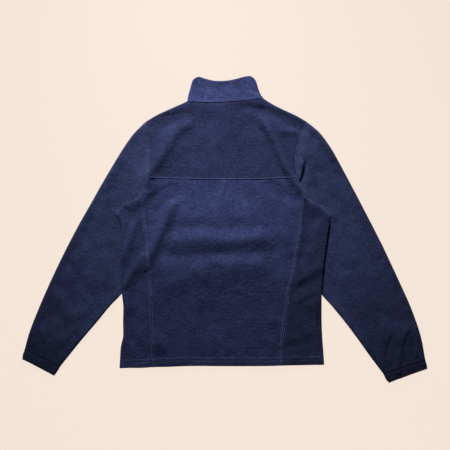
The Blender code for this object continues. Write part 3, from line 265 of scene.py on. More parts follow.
# Seams in millimetres: the depth and half width of the valley, the height and reach of the
# turned-in edge beside it, and its rows of stitches.
HEM_SEAM = Seam("hem", 1.0, 1.6, 0.45, 22.0, HEM_ROWS)
BODY_UNDERSIDE = (Seam("seam", 0.8, 1.6), Seam("armhole", 0.8, 1.6), Seam("hem", 0.6, 1.6))
SLEEVE_UNDERSIDE = (Seam("armhole", 0.8, 1.6), Seam("cuff_seam", 0.8, 1.6))
KINDS = {
    "yoke": Kind("body", (Seam("yoke_seam", 0.2, 0.5, 1.2, 1.2, YOKE_ROWS),
                          Seam("armhole", 0.9, 1.5), Seam("neck", 1.0, 2.0)),
                 (), BACK_FOLDS),
    "back": Kind("body", (Seam("yoke_seam", 0.7, 2.4), Seam("armhole", 0.9, 1.5),
                          Seam("seam", 0.4, 1.2, 0.9, 8.5, SIDE_ROWS), HEM_SEAM),
                 (), BACK_FOLDS),
    "side": Kind("body", (Seam("seam", 0.9, 2.0), Seam("armhole", 0.5, 2.0), HEM_SEAM),
                 BODY_UNDERSIDE, BACK_FOLDS),
    "front": Kind("body", (), BODY_UNDERSIDE, ()),
    "sleeve": Kind("sleeve", (Seam("armhole", 0.3, 0.8, 1.0, 1.4, ARMHOLE_ROWS),
                              Seam("cuff_seam", 1.0, 2.0, 0.3, 9.0, CUFF_ROWS)),
                   SLEEVE_UNDERSIDE, SHARED_FOLDS + SLEEVE_FOLDS),
    "cuff": Kind("sleeve", (Seam("cuff_seam", 1.0, 2.0), Seam("cuff_end", 0.8, 1.6)),
                 (), SLEEVE_FOLDS),
    "collar": Kind("body", (Seam("neck", 0.5, 0.9, 0.9, 4.0, NECK_ROWS),
                            Seam("collar_top", 1.0, 2.0)),
                   (), COLLAR_FOLDS),
}
PUCKER = 0.35                   # unevenness of the turned-in edges along a seam
PUCKER_SIZE = 9                 # its length, in millimetres
PUCKER_SEED = 5
STITCH_PULL = 0.35              # depth of the groove that a row of stitches pulls, in mm
ROW_HALF_WIDTH = 1.1
RIDGE_START = 1.2
RIDGE_END = 3.0

# Sampling of the walls.
SEAM_MARKS = (0, 0.6, 1.2, 1.9, 2.7, 3.7, 4.9, 6.3, 8, 10.5)
ARC_STEPS = 5
TANGENT_SPAN = 1e-3             # share of a curve to each side over which its direction is read
TOP_TO_MIDDLE = np.linspace(90, 0, ARC_STEPS + 1)
MIDDLE_TO_BOTTOM = np.linspace(0, -90, ARC_STEPS + 1)
TOP_TO_BOTTOM = np.linspace(90, -90, 2 * ARC_STEPS + 1)
UP = (0, 0, 1)
DOWN = (0, 0, -1)
SMOOTH_ANGLE = 50               # a sharper edge than this shows, in degrees
HIDDEN_STEP = 1.5               # how much coarser the mesh of a hidden face is
YOKE_LENGTH = 150 * MM
NECKLINE_LENGTH = 100 * MM
COLLAR_LENGTH = 58 * MM
COLLAR_FRONT_WIDTH = 90 * MM
CUFF_STEP = 1.6 * MM
GATHER_STEPS = 8                # columns of mesh for each gather
SLOW_WANDER = 0.35              # how far gathers stray to the side, as a share of their width
SLOW_TURNS = 2.3                # and how often they do across a cuff
SLOW_START = 0.2
QUICK_WANDER = 0.2
QUICK_TURNS = 9
SWELL = 0.35                    # how much lower some gathers are than others
SWELL_TURNS = 3.1
SWELL_START = 1.0
GATHER_FADE = 0.05              # share of a cuff's width over which its gathers begin
GATHER_START = 0.25             # share of its length over which they rise from the seam

# Stitches: for each ring of the thread its place along the stitch, its width and how far it
# dips into the cloth. Then how a stitch lies.
STITCH_RINGS = ((-0.5, 0.30, -0.9), (-0.30, 0.85, -0.15), (0.0, 1.0, 0.15), (0.30, 0.85, -0.15),
                (0.5, 0.30, -0.9))
STITCH_SIDES = 6
STITCH_FLATNESS = 0.8
STITCH_SPAN = 0.4               # share of its length over which a stitch takes its direction
STITCH_WANDER = 0.12            # how unevenly stitches lie, as a share of their length
STITCH_STRAY = 0.6              # how much less of that is to the side
HIDDEN_SINK = 0.35 * MM         # how much deeper the stitches sit that lie on the floor

# The zip. A tooth is one turn of wire: points of its middle line, in millimetres.
COIL_PITCH = 1.7 * MM
COIL_WIRE = 0.42 * MM
COIL_START = 0.6                # where the first tooth stands, in pitches
WIRE_SIDES = 5
TOOTH = ((2.3, -0.10, 0.0), (0.9, -0.05, -0.85), (-0.55, 0.0, -0.80), (-0.75, 0.10, 0.0),
         (-0.55, 0.2, 0.80), (0.9, 0.25, 0.85), (2.3, 0.30, 0.1))
TAPE_THICKNESS = 0.5 * MM
TAPE_ROWS = 241
TAPE_COLUMNS = 7
SELVEDGE = 0.12 * MM            # how much thicker the tape is along the teeth, on each face
SELVEDGE_WIDTH = 1.1 * MM

# How each piece was cut: its nap, its flat width, length and area in metres, and then what
# it rests on.
CUTS = {
    "back_yoke": Cut("yoke", 0.415, 0.215, 0.075, ("front_left", "front_right")),
    "back_panel": Cut("back", 0.440, 0.500, 0.180, ("front_left", "front_right")),
    "side_panel_left": Cut("side_left", 0.220, 0.450, 0.065, ("sleeve_left",)),
    "side_panel_right": Cut("side_right", 0.230, 0.445, 0.075, ("sleeve_right",)),
    "front_left": Cut("front", 0.220, 0.700, 0.130, ()),
    "front_right": Cut("front", 0.215, 0.700, 0.120, ()),
    "sleeve_left": Cut("sleeve", 0.440, 0.660, 0.200, ()),
    "sleeve_right": Cut("sleeve", 0.460, 0.680, 0.220, ()),
    "cuff_left": Cut("cuff", 0.240, 0.028, 0.0045, ()),
    "cuff_right": Cut("cuff", 0.260, 0.028, 0.0050, ()),
    "collar": Cut("collar", 0.420, 0.075, 0.024, ("front_left", "front_right")),
    "zip_tape_left": Cut(None, 0.015, 0.710, 0.0100, ("front_left",)),
    "zip_tape_right": Cut(None, 0.015, 0.710, 0.0100, ("front_right",)),
}

# How each piece looks: its cloth; its brightness, painted light and shade for how the light
# falls on it; how its tufts are set; and painted shade that darkens it towards the hem or the cuff: the
# tone there and where the change lies.
PILE_AND_PAINTED_LIGHT = {
    "yoke": Nap("body", 0.90, 520.0, 0.54, 0.10, 1.0, -0.20, 0.02),
    "back": Nap("body", 1.25, 500.0, 0.56, 0.10, 0.68, -0.20, 0.02),
    "side_left": Nap("body", 1.00, 520.0, 0.50, 0.10, 0.98, -0.20, 0.02),
    "side_right": Nap("body", 0.75, 520.0, 0.50, 0.10, 0.84, -0.20, 0.02),
    "front": Nap("body", 0.95, 520.0, 0.50, 0.10, 1.0, -0.20, 0.02),
    "collar": Nap("body", 1.34, 540.0, 0.50, 0.12, 1.0, -0.20, 0.02),
    "sleeve": Nap("sleeve", 1.04, 540.0, 0.44, 0.08, 0.56, -0.36, -0.25),
    "cuff": Nap("sleeve", 1.00, 640.0, 0.36, 0.08, 0.56, -0.36, -0.25),
}

# Looks of the stage.
FLOOR_MATTE = 0.05
FLOOR_GLOW = 0.955
FLOOR_SIZE = 12.0
FLOOR_DROP = 0.3 * MM           # how far the floor lies under the jacket
CAMERA_LENS = 85
CAMERA_SENSOR = 36
CAMERA_REACH = 50
LOOK_AT = (0.0004, 0.0117, 0.0)
KEY_COLOUR = (1.0, 0.98, 0.97)
KEY_AIM = (-0.01, 0.07, 0.0)
FILL_COLOUR = (0.96, 0.97, 1.0, 1)


# ---------------------------------------------------------------- settings

class JacketColours(bpy.types.PropertyGroup):
    """Colours of the cloth, the thread and the zip."""

    # Deep and raised navy: the pile is darker where it is low, painted shade in its hollows.
    body_deep: bpy.props.FloatVectorProperty(
        name="Body, deep", description="Navy between the tufts of the body's pile",
        subtype="COLOR", size=4, min=0, max=1, default=(0.0088, 0.0128, 0.0435, 1))
    body_raised: bpy.props.FloatVectorProperty(
        name="Body, raised", description="Navy on the tufts of the body's pile",
        subtype="COLOR", size=4, min=0, max=1, default=(0.0290, 0.0395, 0.1260, 1))
    # The sleeves' navy is lighter and bluer than the body's: painted light for how the light falls on
    # the sleeves.
    sleeve_deep: bpy.props.FloatVectorProperty(
        name="Sleeve, deep", description="Navy between the tufts of the sleeves' pile",
        subtype="COLOR", size=4, min=0, max=1, default=(0.0115, 0.0165, 0.0500, 1))
    sleeve_raised: bpy.props.FloatVectorProperty(
        name="Sleeve, raised", description="Navy on the tufts of the sleeves' pile",
        subtype="COLOR", size=4, min=0, max=1, default=(0.0380, 0.0520, 0.1440, 1))
    thread: bpy.props.FloatVectorProperty(
        name="Thread", description="Navy sewing thread",
        subtype="COLOR", size=4, min=0, max=1, default=(0.130, 0.155, 0.330, 1))
    tape: bpy.props.FloatVectorProperty(
        name="Zip tape", description="Woven tape and teeth of the zip",
        subtype="COLOR", size=4, min=0, max=1, default=(0.012, 0.014, 0.040, 1))
    slider: bpy.props.FloatVectorProperty(
        name="Slider", description="Lacquered metal of the slider and its tab",
        subtype="COLOR", size=4, min=0, max=1, default=(0.05, 0.05, 0.06, 1))


class JacketSizes(bpy.types.PropertyGroup):
    """Sizes of the cloth and the sewing."""

    cloth: bpy.props.FloatProperty(
        name="Cloth", description="Thickness of the fleece", unit="LENGTH",
        default=1.9 * MM, min=1.0 * MM, max=2.2 * MM)
    step: bpy.props.FloatProperty(
        name="Mesh step", description="Distance between points of the cloth's mesh",
        unit="LENGTH", default=3.4 * MM, min=2 * MM, max=12 * MM)
    stitch: bpy.props.FloatProperty(
        name="Stitch", description="Length of one stitch", unit="LENGTH",
        default=2.7 * MM, min=1 * MM, max=6 * MM)
    stitch_gap: bpy.props.FloatProperty(
        name="Stitch gap", description="Space between two stitches", unit="LENGTH",
        default=0.7 * MM, min=0.1 * MM, max=3 * MM)
    thread: bpy.props.FloatProperty(
        name="Thread", description="Width of the sewing thread", unit="LENGTH",
        default=1.2 * MM, min=0.2 * MM, max=1.5 * MM)
    gather: bpy.props.FloatProperty(
        name="Gathers", description="Height of the gathers of a cuff", unit="LENGTH",
        default=1.1 * MM, min=0, max=3 * MM)
    gathers: bpy.props.IntProperty(
        name="Gather count", description="Gathers across one side of a cuff",
        default=13, min=4, max=30)


class JacketStage(bpy.types.PropertyGroup):
    """Floor, light and camera."""

    floor: bpy.props.FloatVectorProperty(
        name="Floor", description="Colour of the pale floor",
        subtype="COLOR", size=4, min=0, max=1, default=(0.939, 0.807, 0.708, 1))
    key_power: bpy.props.FloatProperty(
        name="Key light", description="Power of the soft light beyond the collar",
        unit="POWER", default=5.7, min=0, max=500)
    key_place: bpy.props.FloatVectorProperty(
        name="Key place", description="Middle of the soft light", subtype="TRANSLATION",
        size=3, default=(-0.28, 1.75, 0.86))
    key_size: bpy.props.FloatProperty(
        name="Key size", description="Side of the soft light", unit="LENGTH",
        default=0.5, min=0.05, max=4)
    key_spread: bpy.props.FloatProperty(
        name="Key spread", description="Angle of the soft light's cone", subtype="ANGLE",
        default=math.radians(48), min=math.radians(10), max=math.pi)
    fill: bpy.props.FloatProperty(
        name="Fill", description="Strength of the even light from all round",
        default=0.035, min=0, max=5)
    camera_height: bpy.props.FloatProperty(
        name="Camera height", description="Height of the camera over the floor",
        unit="LENGTH", default=2.769, min=0.5, max=10)


# ---------------------------------------------------------------- curves and shapes

def metres(points):
    """Plan points in metres as an array."""
    return np.array(points, dtype=float) * MM


def unit(vectors):
    """Vectors at length 1."""
    return vectors / np.linalg.norm(vectors, axis=-1, keepdims=True)


def travel_along(line):
    """How far along a line each of its points lies."""
    return np.concatenate([[0.0], np.cumsum(np.linalg.norm(np.diff(line, axis=0), axis=1))])


def read_line(place, marks, points):
    """Plan points of a line at places between its marks, in an array of any shape."""
    return np.stack([np.interp(place, marks, points[:, k]) for k in (0, 1)], -1)


def on_surface(height, plan):
    """Points over plan points, at the heights that a function of the plan gives."""
    return np.concatenate([plan, height(plan[..., 0], plan[..., 1])[..., None]], -1)


def direction(degrees):
    """Unit plan direction."""
    return np.array([math.cos(math.radians(degrees)), math.sin(math.radians(degrees))])


def smooth(value):
    """Soft step from 0 to 1."""
    limited = np.clip(value, 0.0, 1.0)
    return limited * limited * (3.0 - 2.0 * limited)


def band(y, limits):
    """1 between the two middle heights of a band, fading to 0 at its ends."""
    from_top = (limits.top * MM - y) / ((limits.top - limits.full_top) * MM)
    from_bottom = (y - limits.bottom * MM) / ((limits.full_bottom - limits.bottom) * MM)
    return smooth(from_top) * smooth(from_bottom)


class Track:
    """A line of plan points, read at the shares that they stand for."""

    def __init__(self, shares, points):
        self.shares = np.asarray(shares, dtype=float)
        self.points = np.asarray(points, dtype=float)

    def at(self, share):
        return read_line(share, self.shares, self.points)

    def reversed(self):
        return Track(1 - self.shares[::-1], self.points[::-1])


class Curve(Track):
    """A smooth plan curve through given points, read by its share of the length."""

    SAMPLES = 24

    def __init__(self, points):
        if len(points) > 2:
            knots = np.vstack([2 * points[0] - points[1], points, 2 * points[-1] - points[-2]])
            spans = [self._span(knots[i - 1:i + 3]) for i in range(1, len(knots) - 2)]
            points = np.vstack([points[:1]] + spans)
        travel = travel_along(points)
        self.length = travel[-1]
        super().__init__(travel / self.length, points)

    def _span(self, knots):
        """Centripetal Catmull-Rom points between the two middle knots."""
        gaps = np.linalg.norm(np.diff(knots, axis=0), axis=1)
        t = np.concatenate([[0.0], np.cumsum(np.maximum(gaps, TINY) ** 0.5)])
        u = (t[1] + (t[2] - t[1]) * np.arange(1, self.SAMPLES + 1) / self.SAMPLES)[:, None]

        def between(first, last, low, high):
            run = t[high] - t[low]
            return (t[high] - u) / run * first + (u - t[low]) / run * last

        a1, a2, a3 = [between(knots[k], knots[k + 1], k, k + 1) for k in range(3)]
        return between(between(a1, a2, 0, 2), between(a2, a3, 1, 3), 1, 2)

    def nearest(self, point):
        """Share of the length at which the curve passes closest to a point."""
        distance = np.linalg.norm(self.points - np.asarray(point), axis=1)
        return float(self.shares[int(np.argmin(distance))])

    def stretch(self, start=0.0, end=1.0, count=160):
        """The curve between two shares, as a track from 0 to 1."""
        shares = np.linspace(0, 1, count)
        return Track(shares, self.at(start + (end - start) * shares))

    def x_at(self, y):
        """Where a curve that runs down the plan crosses a height of it."""
        return np.interp(-y, -self.points[:, 1], self.points[:, 0])

    def y_at(self, x):
        """The plan height of a curve that runs across the plan."""
        return np.interp(x, self.points[:, 0], self.points[:, 1])


def nearest_on_line(x, y, line):
    """Signed distance (left is positive) and travel along a line, from plan points."""
    best = np.full(np.shape(x), FAR)
    signed = np.zeros(np.shape(x))
    travel = np.zeros(np.shape(x))
    done = 0.0
    for (ax, ay), (bx, by) in zip(line[:-1], line[1:]):
        dx, dy = bx - ax, by - ay
        run = max(math.hypot(dx, dy), TINY)
        along = ((x - ax) * dx + (y - ay) * dy) / run
        t = np.clip(along, 0, run)
        across = ((y - ay) * dx - (x - ax) * dy) / run
        distance = np.hypot(along - t, across)
        closer = distance < best
        best = np.where(closer, distance, best)
        signed = np.where(closer, np.copysign(distance, across), signed)
        first, last = done == 0.0, (bx, by) == tuple(line[-1])
        free = np.where((along < 0) & first | (along > run) & last, along, t)
        travel = np.where(closer, done + free, travel)
        done += run
    return signed, travel, done


def thinned(curve, keep=4):
    """Fewer points of a smooth curve, with both of its ends."""
    return np.vstack([curve.points[:-1:keep], curve.points[-1:]])


def plan_distance(x, y, curves):
    """Shortest plan distance from each point to a set of curves."""
    best = np.full(np.shape(x), FAR)
    for curve in curves:
        signed, _, _ = nearest_on_line(x, y, thinned(curve))
        best = np.minimum(best, np.abs(signed))
    return best


def fold_height(x, y, folds):
    """Sum of the soft ridges and troughs at plan points."""
    total = np.zeros(np.shape(x))
    for fold in folds:
        line = thinned(Curve(metres(fold.points)), 6)
        signed, travel, run = nearest_on_line(x, y, line)
        taper = fold.taper * MM
        ends = smooth((travel + taper / 2) / taper) * smooth((run - travel + taper / 2) / taper)
        width = np.where(signed > 0, fold.left, fold.right) * MM
        total += fold.height * MM * ends * (1 - smooth(np.abs(signed) / width))
    return total


def soft_noise(x, y, size, seed):
    """Smooth uneven patches of a given size, between about -1 and 1."""
    table = np.random.default_rng(seed).uniform(-1, 1, (NOISE_CELLS, NOISE_CELLS))
    u, v = x / (size * MM) + NOISE_SHIFT, y / (size * MM) + NOISE_SHIFT
    i, j = np.floor(u).astype(int), np.floor(v).astype(int)
    fu, fv = smooth(u - i), smooth(v - j)
    i0, j0 = i % NOISE_CELLS, j % NOISE_CELLS
    i1, j1 = (i + 1) % NOISE_CELLS, (j + 1) % NOISE_CELLS
    low = table[i0, j0] * (1 - fu) + table[i1, j0] * fu
    high = table[i0, j1] * (1 - fu) + table[i1, j1] * fu
    return low * (1 - fv) + high * fv


# ---------------------------------------------------------------- the flattened garment

class Garment:
    """Plan curves of the jacket, and the heights of its layers before the details."""

    def __init__(self):
        self.sides = {-1: self._side(LEFT), 1: self._side(RIGHT)}
        self.neck, self.yoke_seam, self.hem, self.collar_top = [
            Curve(metres(line)) for line in (NECK_SEAM, YOKE_SEAM, HEM, COLLAR_TOP)]
        self.collar_edges = {-1: Curve(metres(COLLAR_LEFT)), 1: Curve(metres(COLLAR_RIGHT))}
        self.body_edges = (self._folds("shoulder", "edge", "sleeve_outer")
                           + list(self.collar_edges.values()))
        self.sleeve_edges = self._folds("sleeve_outer", "sleeve_inner", "shoulder", "cuff_outer",
                                        "cuff_inner")

    @staticmethod
    def _side(side):
        """Curves and corners of one side of the jacket."""
        cuff = (side.rows[-1], *side.cuff)
        lines = {
            "shoulder": side.shoulder,
            "armhole": side.armhole,
            "edge": side.edge,
            "seam": side.side_seam,
            "sleeve_outer": [side.armhole[0]] + [row[:2] for row in side.rows],
            "sleeve_inner": [row[2:] for row in side.rows],
            "cuff_outer": [row[:2] for row in cuff],
            "cuff_inner": [row[2:] for row in cuff],
            "cuff_seam": [cuff[0][:2], cuff[0][2:]],
            "cuff_end": [cuff[-1][:2], cuff[-1][2:]],
        }
        curves = {name: Curve(metres(line)) for name, line in lines.items()}
        return dict(curves, rows=metres(side.rows), yoke_end=metres(side.yoke_end),
                    seam_top=metres(side.seam_top))

    def _folds(self, *names):
        """Curves of given names, of both sides."""
        return [side[name] for side in self.sides.values() for name in names]

    def seams(self, seams, sign):
        """The seams with their curves, of one side or of both where sign is 0."""
        placed = []
        for seam in seams:
            sides = [self.sides[s] for s in ((sign,) if sign else BOTH_SIDES)]
            curves = ([side[seam.curve] for side in sides] if seam.curve in sides[0]
                      else [getattr(self, seam.curve)])
            placed += [seam._replace(curve=curve) for curve in curves]
        return placed

    def underlap(self, x, y):
        """How far the body is held up by the sleeves that lie under its sides."""
        total = np.zeros(np.shape(x))
        for sign, side in self.sides.items():
            edge_x = side["edge"].x_at(y)
            tip_x = side["sleeve_inner"].x_at(y)
            reach = np.maximum(sign * (edge_x - tip_x), 0.0) + UNDERLAP_REACH
            across = 1 - smooth((sign * (edge_x - x) - reach) / UNDERLAP_FADE)
            total += LIFT_HEIGHT * across * band(y, UNDERLAP_BAND) * (sign * x > 0)
        return total

    def zip_lift(self, x, y):
        """How far the top of the zip is held up by its slider and pull tab."""
        across = 1 - smooth((np.abs(x) - ZIP_LIFT_FLAT) / ZIP_LIFT_FADE)
        return ZIP_LIFT * across * smooth((y - ZIP_LIFT_START) / ZIP_LIFT_RUN)

    def pressed(self, x, y):
        """1 where the body's side presses on a sleeve, fading to 0."""
        total = np.zeros(np.shape(x))
        for sign, side in self.sides.items():
            away = sign * (x - side["edge"].x_at(y))
            near = 1 - smooth((away - PRESSED_REACH) / PRESSED_FADE)
            total = np.where(sign * x > 0, near * band(y, PRESSED_BAND), total)
        return total


GARMENT = Garment()


class Cloth:
    """Heights of one kind of piece over the plan: its layer, its folds and its seams."""

    def __init__(self, kind, sign=0):
        self.layer = kind.layer
        self.over = GARMENT.seams(kind.shown, sign)
        self.under = GARMENT.seams(kind.hidden, sign)
        self.folds = kind.folds

    def seams(self, x, y, seams):
        """Valleys, turned-in edges and pulled rows of stitches along the seams."""
        total = np.zeros(np.shape(x))
        uneven = 1 + PUCKER * soft_noise(x, y, PUCKER_SIZE, PUCKER_SEED)
        for seam in seams:
            away = plan_distance(x, y, [seam.curve]) / MM
            total -= seam.drop * (1 - smooth(away / seam.valley))
            ridge = smooth(away / RIDGE_START) * (1 - smooth((away - seam.reach) / RIDGE_END))
            total += seam.ridge * ridge * uneven
            for row in seam.rows:
                total -= STITCH_PULL * (1 - smooth(np.abs(away - row) / ROW_HALF_WIDTH))
        return total * MM

    def top(self, x, y):
        """Height of the outer face of the layer that shows."""
        lift = GARMENT.zip_lift(x, y) * (1 + SLIDER_ROOM)
        if self.layer == "body":
            held = GARMENT.underlap(x, y)
            level = LEVEL + held + lift
            keep, edges = 1.0, GARMENT.body_edges
        else:
            pressed = GARMENT.pressed(x, y)
            level = LEVEL - SQUEEZE * pressed
            keep, edges = 1 - pressed, GARMENT.sleeve_edges
        away = plan_distance(x, y, edges)
        puff = FOLD_PUFF * keep * (1 - smooth((away - FOLD_RADIUS) / FOLD_PUFF_REACH))
        if self.layer == "body":
            puff = puff * (1 - HELD_PUFF_LOSS * held / LIFT_HEIGHT)
        relief = fold_height(x, y, self.folds) * keep
        for seed, (size, height) in enumerate(UNEVENNESS):
            relief = relief + height * MM * soft_noise(x, y, size, seed) * keep
        relief = np.maximum(relief, -DEEPEST_FOLD)
        return level + puff + relief + self.seams(x, y, self.over)

    def bottom(self, x, y):
        """Height of the outer face of the layer that lies on the surface."""
        level = np.zeros(np.shape(x))
        if self.layer == "body":
            level = GARMENT.underlap(x, y) + GARMENT.zip_lift(x, y)
        return level - np.minimum(self.seams(x, y, self.under), 0)

    def over_plan(self, plan):
        """Points of the layer that shows, over plan points."""
        return on_surface(self.top, plan)

    def under_plan(self, plan):
        """Points of the layer that lies on the surface, under plan points."""
        return on_surface(self.bottom, plan)

    def radius(self, edge, turn):
        """Plan radius, half the height and the middle height of a folded edge."""
        radius = np.full(edge.shape[:-1], FOLD_RADIUS)
        for _ in range(2):
            high, low = self._layers(edge - radius[..., None] * turn)
            radius = np.minimum(FOLD_RADIUS, (high - low) / 2)
        high, low = self._layers(edge - radius[..., None] * turn)
        return radius, (high - low) / 2, (high + low) / 2

    def _layers(self, plan):
        x, y = plan[..., 0], plan[..., 1]
        return self.top(x, y), self.bottom(x, y)

    def arc(self, edge, turn, angles):
        """Points round a folded edge, one column for each angle (90 on top)."""
        radius, half, middle = self.radius(edge, turn)
        cosine, sine = np.cos(np.radians(angles)), np.sin(np.radians(angles))
        bulge = (radius[:, None] * (cosine[None, :] - 1) + PILE_REACH * cosine)[..., None]
        plan = edge[:, None, :] + bulge * turn[:, None, :]
        z = middle[:, None] + half[:, None] * sine[None, :]
        return np.concatenate([plan, z[..., None]], -1)

    def inner_edge(self, edge, turn):
        """Plan points where the flat part meets the round folded edge."""
        radius, _, _ = self.radius(edge, turn)
        return edge - radius[..., None] * turn


def outward(curve, shares, sign, first=None, last=None, fan=SEAM_FAN):
    """Plan directions that point away from the cloth along a folded edge."""
    ahead = curve.at(np.clip(shares + TANGENT_SPAN, 0, 1))
    behind = curve.at(np.clip(shares - TANGENT_SPAN, 0, 1))
    tangent = ahead - behind
    turn = unit(np.stack([-tangent[..., 1], tangent[..., 0]], -1) * sign)
    for given, distance in ((first, shares * curve.length), (last, (1 - shares) * curve.length)):
        if given is not None:
            weight = (1 - smooth(distance / fan))[..., None]
            turn = unit(turn * (1 - weight) + direction(given) * weight)
    return turn


def spaced(widths, step, start=True, end=True, stops=()):
    """Shares across rows of given widths: close together along a seam, even elsewhere."""
    widths = np.atleast_1d(np.asarray(widths, dtype=float))
    marks = np.array(SEAM_MARKS) * MM
    first = marks / widths[:, None] if start else np.zeros((len(widths), 1))
    last = 1 - marks[::-1] / widths[:, None] if end else np.ones((len(widths), 1))
    parts = [first]
    bounds = [first[:, -1]] + [np.full(len(widths), s) for s in stops] + [last[:, 0]]
    for low, high in zip(bounds[:-1], bounds[1:]):
        count = max(2, math.ceil(np.max((high - low) * widths) / step))
        steps = np.linspace(0, 1, count + 1)[None, 1:]
        parts.append(low[:, None] + (high - low)[:, None] * steps)
    parts.append(last[:, 1:])
    return np.concatenate(parts, axis=1)


def plan_grid(bottom, top, left, right, u, v):
    """Plan grid between four tracks, at shares u (rows by columns) and v (rows)."""
    v = np.broadcast_to(v[:, None], u.shape)
    a, b = u[..., None], v[..., None]
    ruled = (1 - b) * bottom.at(u) + b * top.at(u) + (1 - a) * left.at(v) + a * right.at(v)
    corners = ((1 - a) * (1 - b) * bottom.at(0.0) + a * (1 - b) * bottom.at(1.0)
               + (1 - a) * b * top.at(0.0) + a * b * top.at(1.0))
    return ruled - corners


# ---------------------------------------------------------------- meshes

class Wall:
    """Gathers blocks of outer points and closes them into one wall of cloth."""

    WELD = 5e-6                 # points of two blocks that lie as close as this are one
    NEAR_HALF = 0.4             # past this share of WELD a point may also be its neighbour's
    CALM_ROUNDS = 3
    CALM_KEEP = 0.2             # weight of a point's own direction beside one neighbour's
    LEAST_TURN = 0.35           # keeps a sharp corner of the rim from moving too far

    def __init__(self):
        self.points = []
        self.faces = []
        self.index = {}
        self.free = set()

    def add(self, points, facing, free=()):
        """Adds a grid block that faces along a direction; rows in free are cut or folded."""
        rows, columns = points.shape[:2]
        ids = np.empty((rows, columns), dtype=int)
        for r in range(rows):
            for c in range(columns):
                rim = r in (0, rows - 1) or c in (0, columns - 1)
                ids[r, c] = self._welded(points[r, c]) if rim else self._new(points[r, c])
        across = points[:-1, 1:] - points[:-1, :-1]
        up = points[1:, :-1] - points[:-1, :-1]
        facing = np.broadcast_to(np.asarray(facing, dtype=float), points.shape)[:-1, :-1]
        forward = np.sum(np.cross(across, up) * facing) > 0
        for r in range(rows - 1):
            for c in range(columns - 1):
                face = (ids[r, c], ids[r, c + 1], ids[r + 1, c + 1], ids[r + 1, c])
                face = list(dict.fromkeys(int(i) for i in face))
                if len(face) > 2:
                    self.faces.append(face if forward else face[::-1])
        for row in free:
            self.free.update(int(i) for i in ids[row])

    def _new(self, point):
        self.points.append(point)
        return len(self.points) - 1

    def _welded(self, point):
        """Index of a block's border point, shared with the blocks that meet it there."""
        scaled = point / self.WELD
        base = np.round(scaled)
        choices = [(int(b),) if abs(lean) < self.NEAR_HALF
                   else (int(b), int(b + math.copysign(1, lean)))
                   for b, lean in zip(base, scaled - base)]
        for key in itertools.product(*choices):
            if key in self.index:
                return self.index[key]
        return self.index.setdefault(tuple(int(b) for b in base), self._new(point))

    def _rim(self):
        """Directed edges that only one face uses."""
        used = {(a, b) for face in self.faces for a, b in zip(face, face[1:] + face[:1])}
        return sorted((a, b) for a, b in used if (b, a) not in used)

    def _corners(self):
        """The four corners of each face; a triangle has its last one twice."""
        return np.array([f if len(f) == 4 else f + f[-1:] for f in self.faces])

    @staticmethod
    def _gathered(start, corners, vectors):
        """Adds each face's vector to its corners, and gives the sums at length 1."""
        for k in range(4):
            np.add.at(start, corners[:, k], vectors)
        return start / np.maximum(np.linalg.norm(start, axis=1, keepdims=True), TINY)

    def _normals(self, outer):
        corners = self._corners()
        p = outer[corners]
        across = np.cross(p[:, 2] - p[:, 0], p[:, 3] - p[:, 1])
        return self._gathered(np.zeros_like(outer), corners, across)

    def _calmed(self, normals):
        """Normals averaged with their neighbours, so the inner side stays smooth."""
        corners = self._corners()
        for _ in range(self.CALM_ROUNDS):
            mean = normals[corners].mean(axis=1)
            normals = self._gathered(normals * self.CALM_KEEP, corners, mean)
        return normals

    def _inward(self, outer, normals, edges):
        """Directions along the cloth, away from its rim."""
        inward = {}
        for a, b in edges:
            across = np.cross(normals[a] + normals[b], outer[b] - outer[a])
            for end in (a, b):
                inward.setdefault(end, []).append(across / max(np.linalg.norm(across), TINY))
        return {end: np.mean(each, axis=0) for end, each in inward.items()}

    def build(self, name, material, thickness):
        """Makes the closed wall as an object, with a rounded rim where it is free."""
        outer = np.array(self.points)
        edges = self._rim()
        normals = self._normals(outer)
        inward = self._inward(outer, normals, edges)
        for end, mean in inward.items():
            outer[end] += mean * SEAM_GAP / 2 / max(mean @ mean, self.LEAST_TURN)
        inner = outer - thickness * self._calmed(normals)
        count = len(outer)
        free = sorted({end for edge in edges if self._is_free(edge) for end in edge})
        middles = {end: 2 * count + place for place, end in enumerate(free)}
        ring = [(outer[i] + inner[i]) / 2 - inward[i] * thickness * RIM_BULGE for i in free]
        faces = list(self.faces) + [[i + count for i in reversed(f)] for f in self.faces]
        for a, b in edges:
            if self._is_free((a, b)):
                faces.append([b, a, middles[a], middles[b]])
                faces.append([middles[b], middles[a], a + count, b + count])
                continue
            faces.append([b, a, a + count, b + count])
            if a in middles:
                faces.append([a, middles[a], a + count])
            if b in middles:
                faces.append([b, b + count, middles[b]])
        parts = [outer, inner] + ([np.array(ring)] if ring else [])
        return make_mesh(name, np.vstack(parts), faces, material)

    def _is_free(self, edge):
        return edge[0] in self.free and edge[1] in self.free


def make_mesh(name, points, faces, material):
    """A mesh object at the origin, with smooth shading apart from its sharp edges."""
    mesh = bpy.data.meshes.new(name)
    mesh.from_pydata([tuple(p) for p in points], [], faces)
    mesh.validate()
    obj = bpy.data.objects.new(name, mesh)
    obj.data.materials.append(material)
    bpy.context.scene.collection.objects.link(obj)
    mesh.shade_smooth()
    mesh.set_sharp_from_angle(angle=math.radians(SMOOTH_ANGLE))
    return obj


def settle(obj, node=None):
    """Hides the part that a new piece stands for, and puts the piece on the body that it rides on."""
    if node:
        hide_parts(node)
    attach(obj, BODY)


def finish_cloth(wall, node):
    """Builds a cloth piece with the material of its cut, and puts it in its node's place."""
    cut = CUTS[node]
    obj = wall.build(f"{node}_cloth", cloth_material(cut.nap), jacket_sizes().cloth)
    settle(obj, node)


def jacket_sizes():
    """The sizes that a user may change."""
    return bpy.context.scene.jacket_sizes


def sided(name, sign):
    """The name of a piece of the left or the right side."""
    return f"{name}_left" if sign < 0 else f"{name}_right"


